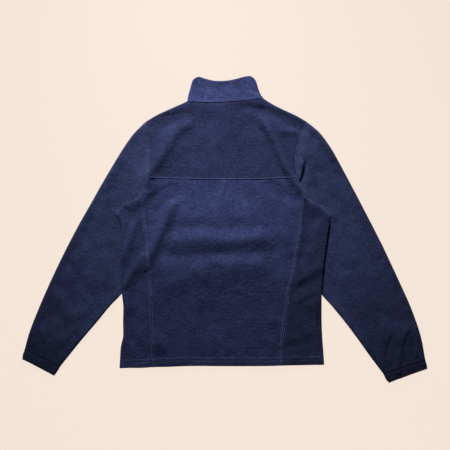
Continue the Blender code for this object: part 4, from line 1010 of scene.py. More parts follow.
# ---------------------------------------------------------------- cloth pieces

def armhole_share(sign, point):
    """Share along the armhole, measured between its two folds."""
    curve = GARMENT.sides[sign]["armhole"]
    spare = FOLD_RADIUS / curve.length
    return (curve.nearest(point) - spare) / (1 - 2 * spare)


def armhole_at(sign, share, cloth):
    """Plan points of the armhole between the two folds that it crosses."""
    side = GARMENT.sides[sign]
    curve = side["armhole"]
    spare = FOLD_RADIUS / curve.length
    share = np.asarray(share, dtype=float)
    points = curve.at(spare + share * (1 - 2 * spare))
    under = side["edge" if cloth.layer == "body" else "sleeve_inner"]
    ends = ((side["shoulder"].at([1.0]), SHOULDER_TURN[sign], spare, share),
            (under.at([0.0]), UNDERARM_TURN[sign], 1 - spare, 1 - share))
    for edge, turn, place, away in ends:
        shift = cloth.inner_edge(edge, direction(turn)[None])[0] - curve.at(place)
        points = points + shift * (1 - smooth(away * curve.length / ARMHOLE_BLEND))[..., None]
    return points


def armhole_track(sign, cloth, start, end, count=90):
    """The armhole between two shares, as a track from 0 to 1."""
    shares = np.linspace(0, 1, count)
    return Track(shares, armhole_at(sign, start + (end - start) * shares, cloth))


def joined_track(tracks, weights):
    """Tracks one after another, each with its weight of the whole."""
    stops = np.concatenate([[0.0], np.cumsum(weights)]) / np.sum(weights)
    shares, points = [], []
    for track, low, high in zip(tracks, stops[:-1], stops[1:]):
        shares.append(low + (high - low) * track.shares)
        points.append(track.points)
    return Track(np.concatenate(shares), np.vstack(points)), stops


def fold_over(cloth, curve, shares, sign, turns, fan=SEAM_FAN, angles=TOP_TO_BOTTOM):
    """Inner plan line, round points and outward directions of a folded edge."""
    turn = outward(curve, shares, sign, *turns, fan=fan)
    edge = curve.at(shares)
    facing = np.concatenate([turn, np.zeros((len(turn), 1))], -1)[:, None, :]
    return cloth.inner_edge(edge, turn), cloth.arc(edge, turn, angles), facing


def shoulder_fold(sign, shares, cloth, angles):
    """The shoulder fold, from the neck outwards."""
    return fold_over(cloth, GARMENT.sides[sign]["shoulder"], shares, sign,
                     (NECK_TURN[sign], SHOULDER_TURN[sign]), angles=angles)


def shoulder_track(sign, cloth, count=60):
    """The line where the flat cloth meets the shoulder fold."""
    shares = np.linspace(0, 1, count)
    return Track(shares, shoulder_fold(sign, shares, cloth, TOP_TO_MIDDLE)[0])


def neck_track(cloth, count=120):
    """The neck seam between the collar's two folds."""
    shares = np.linspace(0, 1, count)
    points = GARMENT.neck.at(shares)
    for sign, away in ((-1, shares), (1, 1 - shares)):
        edge = GARMENT.neck.at([0.0 if sign < 0 else 1.0])
        shift = cloth.inner_edge(edge, direction(NECK_TURN[sign])[None])[0] - edge[0]
        fade = 1 - smooth(away * GARMENT.neck.length / NECK_BLEND)
        points = points + shift * fade[:, None]
    return Track(shares, points)


def row_widths(left, right, v):
    """Distance between two tracks at each share of them."""
    return np.linalg.norm(right.at(v) - left.at(v), axis=-1)


def ruled(start, end, share):
    """Plan points at shares of the way from the points of one line to those of another."""
    return start[:, None] * (1 - share)[..., None] + end[:, None] * share[..., None]


def nearest_column(shares, stop):
    """The column whose share is closest to a given one."""
    return int(np.argmin(np.abs(shares - stop)))


def sew_yoke():
    """Back yoke: from the yoke seam up to the shoulders and the neck seam."""
    cloth, step = Cloth(KINDS["yoke"]), jacket_sizes().step
    sides = {sign: armhole_track(sign, cloth, armhole_share(sign, side["yoke_end"]), 0.0)
             for sign, side in GARMENT.sides.items()}
    shoulders = [GARMENT.sides[sign]["shoulder"].length for sign in BOTH_SIDES]
    top, stops = joined_track([shoulder_track(-1, cloth).reversed(), neck_track(cloth),
                               shoulder_track(1, cloth)],
                              [shoulders[0], GARMENT.neck.length, shoulders[1]])
    v = spaced([YOKE_LENGTH], step)[0]
    u = spaced(row_widths(sides[-1], sides[1], v), step, stops=stops[1:3])
    plan = plan_grid(GARMENT.yoke_seam.stretch(), top, sides[-1], sides[1], u, v)
    wall = Wall()
    first, last = nearest_column(u[-1], stops[1]), nearest_column(u[-1], stops[2])
    spans = {-1: (slice(0, first + 1), 1 - u[-1, :first + 1] / stops[1]),
             1: (slice(last, None), (u[-1, last:] - stops[2]) / (1 - stops[2]))}
    for sign, (columns, shares) in spans.items():
        inner, arcs, facing = shoulder_fold(sign, shares, cloth, TOP_TO_MIDDLE)
        plan[-1, columns] = inner
        wall.add(arcs, facing + np.array(UP))
    wall.add(cloth.over_plan(plan), UP)
    finish_cloth(wall, "back_yoke")


def side_line(sign, cloth, top_share):
    """Armhole from a share down to the side seam, then the side seam to the hem."""
    side = GARMENT.sides[sign]
    corner = armhole_share(sign, side["seam_top"])
    tracks = [armhole_track(sign, cloth, top_share, corner), side["seam"].stretch()]
    lengths = [side["armhole"].length * (corner - top_share), side["seam"].length]
    return tracks, lengths


def sew_back_panel():
    """Back panel: below the yoke, between the side panels."""
    cloth, step = Cloth(KINDS["back"]), jacket_sizes().step
    tracks, lengths = {}, []
    for sign, side in GARMENT.sides.items():
        tracks[sign], length = side_line(sign, cloth, armhole_share(sign, side["yoke_end"]))
        lengths.append(length)
    weights = np.mean(lengths, axis=0)
    left, right = [joined_track(tracks[sign], weights)[0].reversed() for sign in BOTH_SIDES]
    v = spaced([weights.sum()], step, stops=(weights[1] / weights.sum(),))[0]
    u = spaced(row_widths(left, right, v), step)
    hem = GARMENT.hem.stretch(*(GARMENT.hem.nearest(line.at(0.0)) for line in (left, right)))
    wall = Wall()
    wall.add(cloth.over_plan(plan_grid(hem, GARMENT.yoke_seam.stretch(), left, right, u, v)),
             UP, free=(0,))
    finish_cloth(wall, "back_panel")


def sew_side_panel(sign):
    """Side panel: from the back side seam round the side fold to the front side seam."""
    side, step = GARMENT.sides[sign], jacket_sizes().step
    cloth = Cloth(KINDS["side"], sign)
    v = spaced([side["edge"].length], step)[0]
    inner, arcs, facing = fold_over(cloth, side["edge"], v, sign, (UNDERARM_TURN[sign],),
                                    UNDERARM_TURN_FAN)
    fold, seam_line = Track(v, inner), side["seam"].stretch()
    armhole = armhole_track(sign, cloth, armhole_share(sign, side["seam_top"]), 1.0)
    armhole.points[-1] = fold.points[0]
    hem = Track([0, 1], [seam_line.at(1.0), fold.points[-1]])
    u = spaced(row_widths(seam_line, fold, v), step, end=False)
    plan = plan_grid(armhole, hem, seam_line, fold, u, v)
    plan[:, -1] = fold.points
    wall = Wall()
    wall.add(cloth.over_plan(plan), UP, free=(-1,))
    wall.add(arcs, facing, free=(-1,))
    wall.add(cloth.under_plan(plan), DOWN, free=(-1,))
    finish_cloth(wall, sided("side_panel", sign))


def neckline_track(sign, cloth):
    """One side of the front neckline, from the zip to the collar's fold."""
    start_x, start_y = sign * ZIP_WINDOW / 2 / MM, NECK_FRONT_Y
    neck = (LEFT if sign < 0 else RIGHT).shoulder[0]
    bends = [(start_x + share * (neck[0] - start_x), start_y + rise)
             for share, rise in NECKLINE_BENDS]
    track = Curve(metres(((start_x, start_y), *bends, neck))).stretch(count=60)
    end = cloth.inner_edge(metres([neck]), direction(NECK_TURN[sign])[None])[0]
    weight = smooth((track.shares - (1 - NECKLINE_BLEND)) / NECKLINE_BLEND)[:, None]
    track.points = track.points + (end - track.points[-1]) * weight
    return track


def sew_front(sign):
    """Front: from the zip to the side seam, with the lower half of the shoulder fold."""
    cloth, step = Cloth(KINDS["front"], sign), jacket_sizes().step * HIDDEN_STEP
    top, stops = joined_track([neckline_track(sign, cloth), shoulder_track(sign, cloth)],
                              [NECKLINE_LENGTH, GARMENT.sides[sign]["shoulder"].length])
    tracks, parts = side_line(sign, cloth, 0.0)
    outer, corners = joined_track(tracks, parts)
    outer = outer.reversed()
    window = sign * ZIP_WINDOW / 2
    hem_y = float(GARMENT.hem.y_at(window))
    bottom = GARMENT.hem.stretch(GARMENT.hem.nearest((window, hem_y)),
                                 GARMENT.hem.nearest(outer.at(0.0)))
    bottom.points[0], bottom.points[-1] = (window, hem_y), outer.at(0.0)
    centre = Track([0, 1], [(window, hem_y), (window, NECK_FRONT_Y * MM)])
    v = spaced([sum(parts)], step, stops=(1 - corners[1],))[0]
    u = spaced(row_widths(centre, outer, v), step, start=False, stops=(stops[1],))
    plan = plan_grid(bottom, top, centre, outer, u, v)
    wall = Wall()
    first = nearest_column(u[-1], stops[1])
    shares = (u[-1, first:] - stops[1]) / (1 - stops[1])
    inner, arcs, facing = shoulder_fold(sign, shares, cloth, MIDDLE_TO_BOTTOM)
    plan[-1, first:] = inner
    wall.add(cloth.under_plan(plan), DOWN, free=(0,))
    wall.add(arcs, facing + np.array(DOWN))
    finish_cloth(wall, sided("front", sign))


def sleeve_folds(sign):
    """Matching shares along the outer and the inner fold, from the underarm to the cuff."""
    side = GARMENT.sides[sign]
    outer = [side["sleeve_outer"].nearest(row[:2]) for row in side["rows"]]
    inner = [side["sleeve_inner"].nearest(row[2:]) for row in side["rows"]]
    fanned = FAN_ROWS + 1
    outer[:fanned] = np.linspace(outer[FAN_ROWS] - SLEEVE_CAP, outer[FAN_ROWS], fanned)
    steps = (np.diff(outer) * side["sleeve_outer"].length
             + np.diff(inner) * side["sleeve_inner"].length) / 2
    travel = np.concatenate([[0.0], np.cumsum(steps)])
    stations = spaced([travel[-1]], jacket_sizes().step)[0] * travel[-1]
    return np.interp(stations, travel, outer), np.interp(stations, travel, inner)


def sew_sleeve(sign):
    """Sleeve: a flattened tube from the armhole to the cuff."""
    side, step = GARMENT.sides[sign], jacket_sizes().step
    cloth = Cloth(KINDS["sleeve"], sign)
    outer_shares, inner_shares = sleeve_folds(sign)
    corner = armhole_share(sign, side["seam_top"])
    head = spaced([side["sleeve_outer"].length * outer_shares[0]], step, end=False)[0][:-1]
    outer_shares = np.concatenate([head * outer_shares[0], outer_shares])
    start, outer_arcs, outer_facing = fold_over(
        cloth, side["sleeve_outer"], outer_shares, sign,
        (SHOULDER_TURN[sign], CUFF_OUTER_TURN[sign]), SHOULDER_FAN)
    fold, inner_arcs, inner_facing = fold_over(
        cloth, side["sleeve_inner"], inner_shares, -sign,
        (UNDERARM_TURN[sign], CUFF_INNER_TURN[sign]), UNDERARM_TURN_FAN)
    end = np.vstack([armhole_at(sign, corner + (1 - corner) * head, cloth), fold])
    u = spaced(np.linalg.norm(end - start, axis=1), step, start=False)
    upper = armhole_track(sign, cloth, 0.0, corner)
    chord = upper.at(0.0) * (1 - u)[..., None] + upper.at(1.0) * u[..., None]
    fade = 1 - smooth(outer_shares / SLEEVE_HEAD)
    plan = ruled(start, end, u) + fade[:, None, None] * (upper.at(u) - chord)
    plan[:, 0], plan[:, -1] = start, end
    wall = Wall()
    wall.add(cloth.over_plan(plan), UP)
    wall.add(cloth.under_plan(plan), DOWN)
    wall.add(outer_arcs, outer_facing)
    wall.add(inner_arcs, inner_facing)
    finish_cloth(wall, sided("sleeve", sign))


def gathers_at(u, count):
    """Height of a cuff's uneven gathers at shares of its width, from 0 to 1."""
    wander = (SLOW_WANDER * np.sin(2 * math.pi * (SLOW_TURNS * u + SLOW_START))
              + QUICK_WANDER * np.sin(QUICK_TURNS * math.pi * u))
    ripple = 0.5 - 0.5 * np.cos(2 * math.pi * (count * u + wander * u * (1 - u) * 4))
    swell = (1 - SWELL) + SWELL * np.sin(2 * math.pi * SWELL_TURNS * u + SWELL_START)
    return ripple * swell * smooth(u / GATHER_FADE) * smooth((1 - u) / GATHER_FADE)


def sew_cuff(sign):
    """Elasticated cuff: a short flattened tube with gathers."""
    side, sizes = GARMENT.sides[sign], jacket_sizes()
    cloth = Cloth(KINDS["cuff"], sign)
    v = spaced([side["cuff_outer"].length], CUFF_STEP, end=False)[0]
    start, outer_arcs, outer_facing = fold_over(cloth, side["cuff_outer"], v, sign,
                                                (CUFF_OUTER_TURN[sign],))
    end, inner_arcs, inner_facing = fold_over(cloth, side["cuff_inner"], v, -sign,
                                              (CUFF_INNER_TURN[sign],))
    u = np.linspace(0, 1, sizes.gathers * GATHER_STEPS + 1)
    plan = ruled(start, end, u[None])
    over = cloth.over_plan(plan)
    depth = smooth(v / GATHER_START)
    over[..., 2] += sizes.gather * depth[:, None] * gathers_at(u, sizes.gathers)[None, :]
    wall = Wall()
    wall.add(over, UP, free=(-1,))
    wall.add(inner_arcs, inner_facing, free=(-1,))
    wall.add(cloth.under_plan(plan), DOWN, free=(-1,))
    wall.add(outer_arcs, outer_facing, free=(-1,))
    finish_cloth(wall, sided("cuff", sign))


def sew_collar():
    """Stand collar: one band from the zip round the neck and back to the zip."""
    cloth, step = Cloth(KINDS["collar"]), jacket_sizes().step
    v = spaced([COLLAR_LENGTH], step)[0]
    wall = Wall()
    flats = {}
    for sign, curve in GARMENT.collar_edges.items():
        inner, arcs, facing = fold_over(cloth, curve, v, -sign,
                                        (NECK_TURN[sign], COLLAR_TOP_TURN[sign]))
        flats[sign] = Track(v, inner)
        wall.add(arcs, facing, free=(-1,))
        neckline = neckline_track(sign, cloth)
        end = np.array([sign * ZIP_WINDOW / 2, COLLAR_FRONT_Y * MM])
        upper = Track([0, 1], [end, inner[-1]])
        centre = Track([0, 1], [neckline.at(0.0), end])
        u = spaced(np.full(len(v), COLLAR_FRONT_WIDTH), step * HIDDEN_STEP, start=False,
                   end=False)
        plan = plan_grid(neckline, upper, centre, flats[sign], u, v)
        plan[:, -1] = inner
        wall.add(cloth.under_plan(plan), DOWN, free=(-1,))
    left, right = flats[-1], flats[1]
    top = GARMENT.collar_top.stretch(*(GARMENT.collar_top.nearest(flat.points[-1])
                                       for flat in (left, right)))
    top.points[0], top.points[-1] = left.points[-1], right.points[-1]
    u = spaced(row_widths(left, right, v), step, start=False, end=False)
    plan = plan_grid(neck_track(cloth), top, left, right, u, v)
    plan[:, 0], plan[:, -1] = left.points, right.points
    wall.add(cloth.over_plan(plan), UP, free=(-1,))
    finish_cloth(wall, "collar")


# ---------------------------------------------------------------- topstitching

def tube_faces(rings, sides):
    """Faces of a tube of rings of points, with both ends closed."""
    faces = []
    for start in range(0, (rings - 1) * sides, sides):
        for k in range(sides):
            a, b = start + k, start + (k + 1) % sides
            faces.append((a, b, b + sides, a + sides))
    last = (rings - 1) * sides
    faces.append(tuple(range(sides))[::-1])
    faces.append(tuple(range(last, last + sides)))
    return faces


def stitch_template(length, radius):
    """Points and faces of one stitch, laid along X with its ends pulled into the cloth."""
    turns = np.arange(STITCH_SIDES) * 2 * math.pi / STITCH_SIDES
    rings = [np.stack([np.full(STITCH_SIDES, along * length), wide * radius * np.cos(turns),
                       drop * radius + wide * radius * STITCH_FLATNESS * np.sin(turns)], -1)
             for along, wide, drop in STITCH_RINGS]
    return np.vstack(rings), tube_faces(len(rings), STITCH_SIDES)


def offset_line(line, distance):
    """A plan line moved to its left."""
    along = np.gradient(line, axis=0)
    left = np.stack([-along[:, 1], along[:, 0]], -1)
    return line + distance * left / np.linalg.norm(left, axis=1, keepdims=True)


def stitch_places(line, height, facing, sizes, seed):
    """Middles and axes of the stitches of one row on a surface."""
    run = travel_along(line)
    count = max(1, int(run[-1] / (sizes.stitch + sizes.stitch_gap)))
    middles = (np.arange(count) + 0.5) * run[-1] / count
    jitter = np.random.default_rng(seed).uniform(-1, 1, (count, 2)) * STITCH_WANDER * sizes.stitch
    middles = middles + jitter[:, 0]

    def at(travel):
        return on_surface(height, read_line(travel, run, line))

    half = sizes.stitch * STITCH_SPAN
    along = unit(at(middles + half) - at(middles - half))
    side = unit(np.cross(np.array([0, 0, facing]), along))
    centre = at(middles) + side * jitter[:, 1:] * STITCH_STRAY
    return centre, along, side, np.cross(along, side)


def sew_rows(name, rows, facing, material):
    """All rows of stitches of one part of the jacket, as one piece that rides with it."""
    sizes = jacket_sizes()
    template, template_faces = stitch_template(sizes.stitch, sizes.thread / 2)
    points, faces = [], []
    for seed, (line, height) in enumerate(rows):
        centre, along, side, up = stitch_places(line, height, facing, sizes, seed)
        places = (centre[:, None] + template[None, :, 0:1] * along[:, None]
                  + template[None, :, 1:2] * side[:, None] + template[None, :, 2:3] * up[:, None])
        for stitch in places:
            shift = len(points) * len(template)
            points.append(stitch)
            faces.extend([tuple(i + shift for i in face) for face in template_faces])
    settle(make_mesh(name, np.vstack(points), faces, material))


def folded_down(cloth, edges):
    """The height of a cloth's shown face, turned down where its folded edges begin."""
    def height(x, y):
        high, low = cloth.top(x, y), cloth.bottom(x, y)
        depth = np.clip(1 - plan_distance(x, y, edges) / FOLD_RADIUS, 0, 1)
        return (high + low) / 2 + (high - low) / 2 * np.sqrt(1 - depth * depth)
    return height


def pulled_in(cloth):
    """The height of a cloth's hidden face, with its stitches pulled into it."""
    def height(x, y):
        return cloth.bottom(x, y) + HIDDEN_SINK
    return height


def beside(curve, offset, inset, count=400):
    """Plan points beside a seam, to its left, kept short of both of its ends."""
    spare = inset * MM / curve.length
    return offset_line(curve.at(np.linspace(spare, 1.0 - spare, count)), offset * MM)


def body_height(x, y):
    """Height of the back that shows: yoke, back panel or side panel."""
    result = np.where(y > GARMENT.yoke_seam.y_at(x), Cloth(KINDS["yoke"]).top(x, y),
                      Cloth(KINDS["back"]).top(x, y))
    for sign, side in GARMENT.sides.items():
        beyond = (sign * (x - side["seam"].x_at(y)) > 0) & (y < side["seam_top"][1])
        result = np.where(beyond, Cloth(KINDS["side"], sign).top(x, y), result)
    return result


def shown_rows():
    """Rows of stitches on the side that shows: lines and the heights they lie at."""
    collar = folded_down(Cloth(KINDS["collar"]), list(GARMENT.collar_edges.values()))
    rows = [(beside(GARMENT.hem, row, 3), body_height) for row in HEM_ROWS]
    rows += [(beside(GARMENT.yoke_seam, row, 1), body_height) for row in YOKE_ROWS]
    rows += [(beside(GARMENT.neck, row, 3), collar) for row in NECK_ROWS]
    rows += [(beside(side["seam"], sign * -row, 2), body_height)
             for sign, side in GARMENT.sides.items() for row in SIDE_ROWS]
    return rows


def sleeve_rows(seam_name, outer_name, offsets, inset):
    """Rows of stitches on both sleeves beside the armholes or the cuffs."""
    rows = []
    for sign, side in GARMENT.sides.items():
        sleeve = Cloth(KINDS["sleeve"]._replace(hidden=()), sign)
        height = folded_down(sleeve, [side[outer_name], side["sleeve_inner"]])
        rows += [(beside(side[seam_name], sign * offset, inset), height) for offset in offsets]
    return rows


def hidden_rows():
    """Rows of stitches on the side that lies on the surface."""
    rows = []
    for sign, side in GARMENT.sides.items():
        height = pulled_in(Cloth(KINDS["front"], sign))
        rows += [(beside(side["seam"], sign * -row, 4), height) for row in SIDE_ROWS]
        for row in FRONT_ROWS:
            x = sign * (ZIP_WINDOW / 2 + row * MM)
            rows.append((np.array([(x, y * MM) for y in range(*FRONT_ROW_ENDS)]), height))
        for row in HEM_ROWS:
            line = beside(GARMENT.hem, row, 5)
            rows.append((line[sign * line[:, 0] > ZIP_WINDOW], height))
    return rows


# ---------------------------------------------------------------- zip

def zip_strip(x_start, x_end, y_start, y_end, low, high):
    """Points and faces of a long closed strip that follows the front's lift."""
    xs, ys = np.meshgrid(np.linspace(x_start, x_end, TAPE_COLUMNS),
                         np.linspace(y_start, y_end, TAPE_ROWS))
    lift = GARMENT.zip_lift(xs, ys)
    inner_x = min(x_start, x_end, key=abs)
    swell = SELVEDGE * np.exp(-((xs - inner_x) / SELVEDGE_WIDTH) ** 2)
    lower = np.stack([xs, ys, lift + low - swell], -1).reshape(-1, 3)
    upper = np.stack([xs, ys, lift + high + swell], -1).reshape(-1, 3)
    count = len(lower)
    ids = np.arange(count).reshape(TAPE_ROWS, TAPE_COLUMNS)
    faces = []
    for r in range(TAPE_ROWS - 1):
        for c in range(TAPE_COLUMNS - 1):
            quad = [ids[r, c], ids[r, c + 1], ids[r + 1, c + 1], ids[r + 1, c]]
            faces.append([int(i) + count for i in quad])
            faces.append([int(i) for i in reversed(quad)])
    rim = list(ids[0]) + list(ids[1:, -1]) + list(ids[-1, -2::-1]) + list(ids[-2:0:-1, 0])
    for a, b in zip(rim, rim[1:] + rim[:1]):
        faces.append([int(a), int(b), int(b) + count, int(a) + count])
    return np.vstack([lower, upper]), faces


def coil_tooth():
    """One turn of the coil: a wire loop that leans over the middle of the chain."""
    path = metres(TOOTH)
    turns = np.arange(WIRE_SIDES) * 2 * math.pi / WIRE_SIDES
    points = []
    for k, centre in enumerate(path):
        along = unit(path[min(k + 1, len(path) - 1)] - path[max(k - 1, 0)])
        side = unit(np.cross(along, (0, 1, 0)))
        up = np.cross(side, along)
        points.append(centre + COIL_WIRE * (np.cos(turns)[:, None] * side
                                            + np.sin(turns)[:, None] * up))
    return np.vstack(points), tube_faces(len(path), WIRE_SIDES)


def coil_chain(material):
    """Both coils of the closed chain, one tooth modelled and repeated."""
    low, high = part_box("zip_chain")
    tooth, tooth_faces = coil_tooth()
    lift_end = GARMENT.zip_lift(np.array([0.0]), np.array([high.y]))[0]
    base = low.z + (high.z - low.z - lift_end) / 2
    count = int((high.y - low.y - COIL_PITCH) / COIL_PITCH)
    points, faces = [], []
    for k in range(count):
        y = low.y + COIL_PITCH * (k + COIL_START)
        for sign in BOTH_SIDES:
            place = y + (COIL_PITCH / 2 if sign > 0 else 0)
            copy = tooth * np.array([sign, 1, 1]) + np.array([0, place, 0])
            copy[:, 2] += base + GARMENT.zip_lift(copy[:, 0], copy[:, 1])
            start = len(points) * len(tooth)
            points.append(copy)
            faces.extend([tuple(i + start for i in face[::-sign]) for face in tooth_faces])
    settle(make_mesh("zip_chain_coil", np.vstack(points), faces, material),
           "zip_chain")


def fit_tape(sign, material):
    """One woven tape behind a front edge."""
    node = sided("zip_tape", sign)
    low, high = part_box(node)
    lift = GARMENT.zip_lift(np.array([low.x, high.x]), np.array([low.y, low.y]))
    base = low.z - float(lift.min())
    points, faces = zip_strip(low.x, high.x, low.y, high.y, base, base + TAPE_THICKNESS)
    obj = make_mesh(f"{node}_woven", points, faces, material)
    settle(obj, node)


# ---------------------------------------------------------------- materials

def new_group(name, inputs, outputs):
    """An empty shader group with named sockets; gives the group and its two end nodes."""
    group = bpy.data.node_groups.new(name, "ShaderNodeTree")
    for label, kind, value in inputs:
        socket = group.interface.new_socket(label, in_out="INPUT", socket_type=kind)
        socket.default_value = value
    for label, kind in outputs:
        group.interface.new_socket(label, in_out="OUTPUT", socket_type=kind)
    return group, group.nodes.new("NodeGroupInput"), group.nodes.new("NodeGroupOutput")


def feed(tree, node, values):
    """Sets a node's inputs to numbers and colours, or links them to other nodes' sockets."""
    for name, value in values.items():
        if isinstance(value, bpy.types.NodeSocket):
            tree.links.new(value, node.inputs[name])
        else:
            node.inputs[name].default_value = value


def add_node(tree, kind, values, **settings):
    """A new node with its settings and its inputs fed; gives its outputs."""
    node = tree.nodes.new(f"ShaderNode{kind}")
    for name, value in settings.items():
        setattr(node, name, value)
    feed(tree, node, values)
    return node.outputs


def object_place(tree):
    """The place on the piece that is being shaded."""
    return add_node(tree, "TexCoord", {})["Object"]


def math_node(tree, kind, first, second, clamp=False):
    """A calculation with sockets or numbers."""
    return add_node(tree, "Math", {0: first, 1: second}, operation=kind, use_clamp=clamp)[0]


def noise_node(tree, place, scale, detail, roughness=0.55):
    """Noise of a number of grains per metre, or of a socket's number."""
    return add_node(tree, "TexNoise", {"Vector": place, "Scale": scale, "Detail": detail,
                                       "Roughness": roughness})["Fac"]


def mix_node(tree, factor, first, second, blend="MIX"):
    """Mix of two colours, or their product."""
    return add_node(tree, "Mix", {"Factor": factor, 6: first, 7: second}, data_type="RGBA",
                    blend_type=blend)[2]


def range_node(tree, value, low, high, new_low=0.0, new_high=1.0):
    """A value moved from one range to another, whose limits are numbers or sockets."""
    return add_node(tree, "MapRange", {"Value": value, "From Min": low, "From Max": high,
                                       "To Min": new_low, "To Max": new_high})["Result"]


def brushed_pile():
    """Brushed fleece: tufts, pilled clumps and patches where the nap lies another way, with painted
    shade in the pile's hollows and towards one end.
    """
    group, start, end = new_group("Brushed pile", (
        ("Deep", "NodeSocketColor", (0.02, 0.02, 0.06, 1)),
        ("Raised", "NodeSocketColor", (0.04, 0.04, 0.11, 1)),
        ("Tufts per metre", "NodeSocketFloat", 520.0),
        ("Clumps per metre", "NodeSocketFloat", 160.0),
        ("Patches per metre", "NodeSocketFloat", 38.0),
        ("Clumping", "NodeSocketFloat", 0.45),
        ("End tone", "NodeSocketFloat", 1.0),
        ("Painted shade ends at", "NodeSocketFloat", -0.2),
        ("Painted shade starts at", "NodeSocketFloat", 0.0),
    ), (("Colour", "NodeSocketColor"), ("Height", "NodeSocketFloat"),
        ("Roughness", "NodeSocketFloat")))
    given, where = start.outputs, object_place(group)

    def spots(size, detail, roughness, low, high):
        return range_node(group, noise_node(group, where, given[size], detail, roughness), low,
                          high)

    def part(value, share):
        return math_node(group, "MULTIPLY", value, share)

    tufts = spots("Tufts per metre", 3.0, 0.62, 0.30, 0.70)
    clumps = spots("Clumps per metre", 2.0, 0.5, 0.36, 0.66)
    patches = spots("Patches per metre", 2.0, 0.5, 0.34, 0.66)
    height = math_node(group, "ADD", part(tufts, 0.5), part(clumps, given["Clumping"]))
    # Partly painted shade: the colour follows the pile's height and is darker in its hollows; the
    # patches vary it at random.
    raised = math_node(group, "ADD", part(height, 0.72), part(patches, 0.28), clamp=True)
    colour = mix_node(group, raised, given["Deep"], given["Raised"])
    # Painted shade: the colour darkens along Y towards the hem or the cuff.
    along = add_node(group, "SeparateXYZ", {"Vector": where})["Y"]
    tone = range_node(group, along, given["Painted shade ends at"], given["Painted shade starts at"],
                      given["End tone"], 1.0)
    feed(group, end, {"Colour": mix_node(group, 1.0, colour, tone, "MULTIPLY"),
                      "Height": height,
                      "Roughness": range_node(group, height, 0.0, 1.0, 0.98, 0.80)})
    return group


def woven_thread():
    """Fine crossing threads, for tape and sewing thread, with painted shade between the threads."""
    group, start, end = new_group("Woven thread", (
        ("Colour", "NodeSocketColor", (0.02, 0.02, 0.06, 1)),
        ("Threads per metre", "NodeSocketFloat", 1400.0),
        ("Contrast", "NodeSocketFloat", 0.5),
    ), (("Colour", "NodeSocketColor"), ("Height", "NodeSocketFloat")))
    given, where = start.outputs, object_place(group)
    waves = [add_node(group, "TexWave", {"Vector": where, "Scale": given["Threads per metre"],
                                         "Distortion": 0.6, "Detail": 1.0},
                      bands_direction=axis)["Fac"] for axis in ("X", "Y")]
    height = math_node(group, "MAXIMUM", *waves)
    # Painted shade: the colour darkens where the threads dip, between them.
    painted_gap_shade = math_node(group, "MULTIPLY", math_node(group, "SUBTRACT", 1.0, height),
                        given["Contrast"])
    gaps = (0.25, 0.25, 0.3, 1)
    feed(group, end, {"Colour": mix_node(group, painted_gap_shade, given["Colour"], gaps, "MULTIPLY"),
                      "Height": height})
    return group


def use_group(tree, name, maker, values):
    """A shader group, built once and used by several materials, with its own values here."""
    group = bpy.data.node_groups.get(name) or maker()
    return add_node(tree, "Group", values, node_tree=group)


def new_material(name):
    """A material with its Principled shader."""
    material = bpy.data.materials.new(name)
    material.use_nodes = True
    return material, material.node_tree, material.node_tree.nodes["Principled BSDF"]


def bump_node(tree, height, distance, strength):
    """The normal that a height gives."""
    return add_node(tree, "Bump", {"Height": height, "Distance": distance,
                                   "Strength": strength})["Normal"]


def shade(colour, factor):
    """A darker or lighter colour of the same hue."""
    return tuple(factor * value for value in colour[:3]) + (1.0,)


def cloth_material(part):
    """Brushed fleece of one kind of piece, in two tones of one colour, made lighter or darker by painted
    light and shade.
    """
    colours = bpy.context.scene.jacket_colours
    name = f"Navy fleece with painted light {part}"
    if name in bpy.data.materials:
        return bpy.data.materials[name]
    nap = PILE_AND_PAINTED_LIGHT[part]
    # The sleeves take the lighter, bluer navy: painted light.
    tones = ((colours.body_deep, colours.body_raised) if nap.cloth == "body"
             else (colours.sleeve_deep, colours.sleeve_raised))
    # Painted light and shade: each kind of piece is made lighter or darker by its own factor.
    deep, raised = [shade(tone, nap.tone) for tone in tones]
    material, tree, shader = new_material(name)
    pile = use_group(tree, "Brushed pile", brushed_pile, {
        "Deep": deep, "Raised": raised, "Tufts per metre": nap.tufts, "Clumping": nap.clumping,
        "End tone": nap.end_tone, "Painted shade ends at": nap.tone_end, "Painted shade starts at": nap.tone_start})
    feed(tree, shader, {
        "Base Color": pile["Colour"], "Roughness": pile["Roughness"],
        "Normal": bump_node(tree, pile["Height"], 1.0 * MM, 0.9), "Specular IOR Level": 0.15,
        "Sheen Weight": nap.sheen, "Sheen Roughness": 0.6, "Sheen Tint": (0.42, 0.46, 0.72, 1)})
    return material


def thread_material(name, colour, threads=2600.0, roughness=0.55, contrast=0.35):
    """Woven tape or sewing thread."""
    material, tree, shader = new_material(name)
    weave = use_group(tree, "Woven thread", woven_thread, {
        "Colour": colour, "Threads per metre": threads, "Contrast": contrast})
    feed(tree, shader, {
        "Base Color": weave["Colour"], "Roughness": roughness, "Specular IOR Level": 0.3,
        "Normal": bump_node(tree, weave["Height"], 0.15 * MM, 0.7)})
    return material


def lacquered_metal(name, colour):
    """Dark lacquer with small scuffs, worn brighter along its edges."""
    material, tree, shader = new_material(name)
    scuffs = range_node(tree, noise_node(tree, object_place(tree), 900.0, 4.0, 0.7), 0.5, 0.75)
    edge = add_node(tree, "NewGeometry", {})["Pointiness"]
    worn = math_node(tree, "MULTIPLY", range_node(tree, edge, 0.52, 0.62),
                     math_node(tree, "ADD", 0.35, scuffs), clamp=True)
    feed(tree, shader, {
        "Base Color": mix_node(tree, worn, colour, (0.32, 0.31, 0.30, 1)),
        "Roughness": range_node(tree, scuffs, 0.0, 1.0, 0.28, 0.5),
        "Normal": bump_node(tree, scuffs, 0.05 * MM, 0.3), "Metallic": 0.85})
    return material


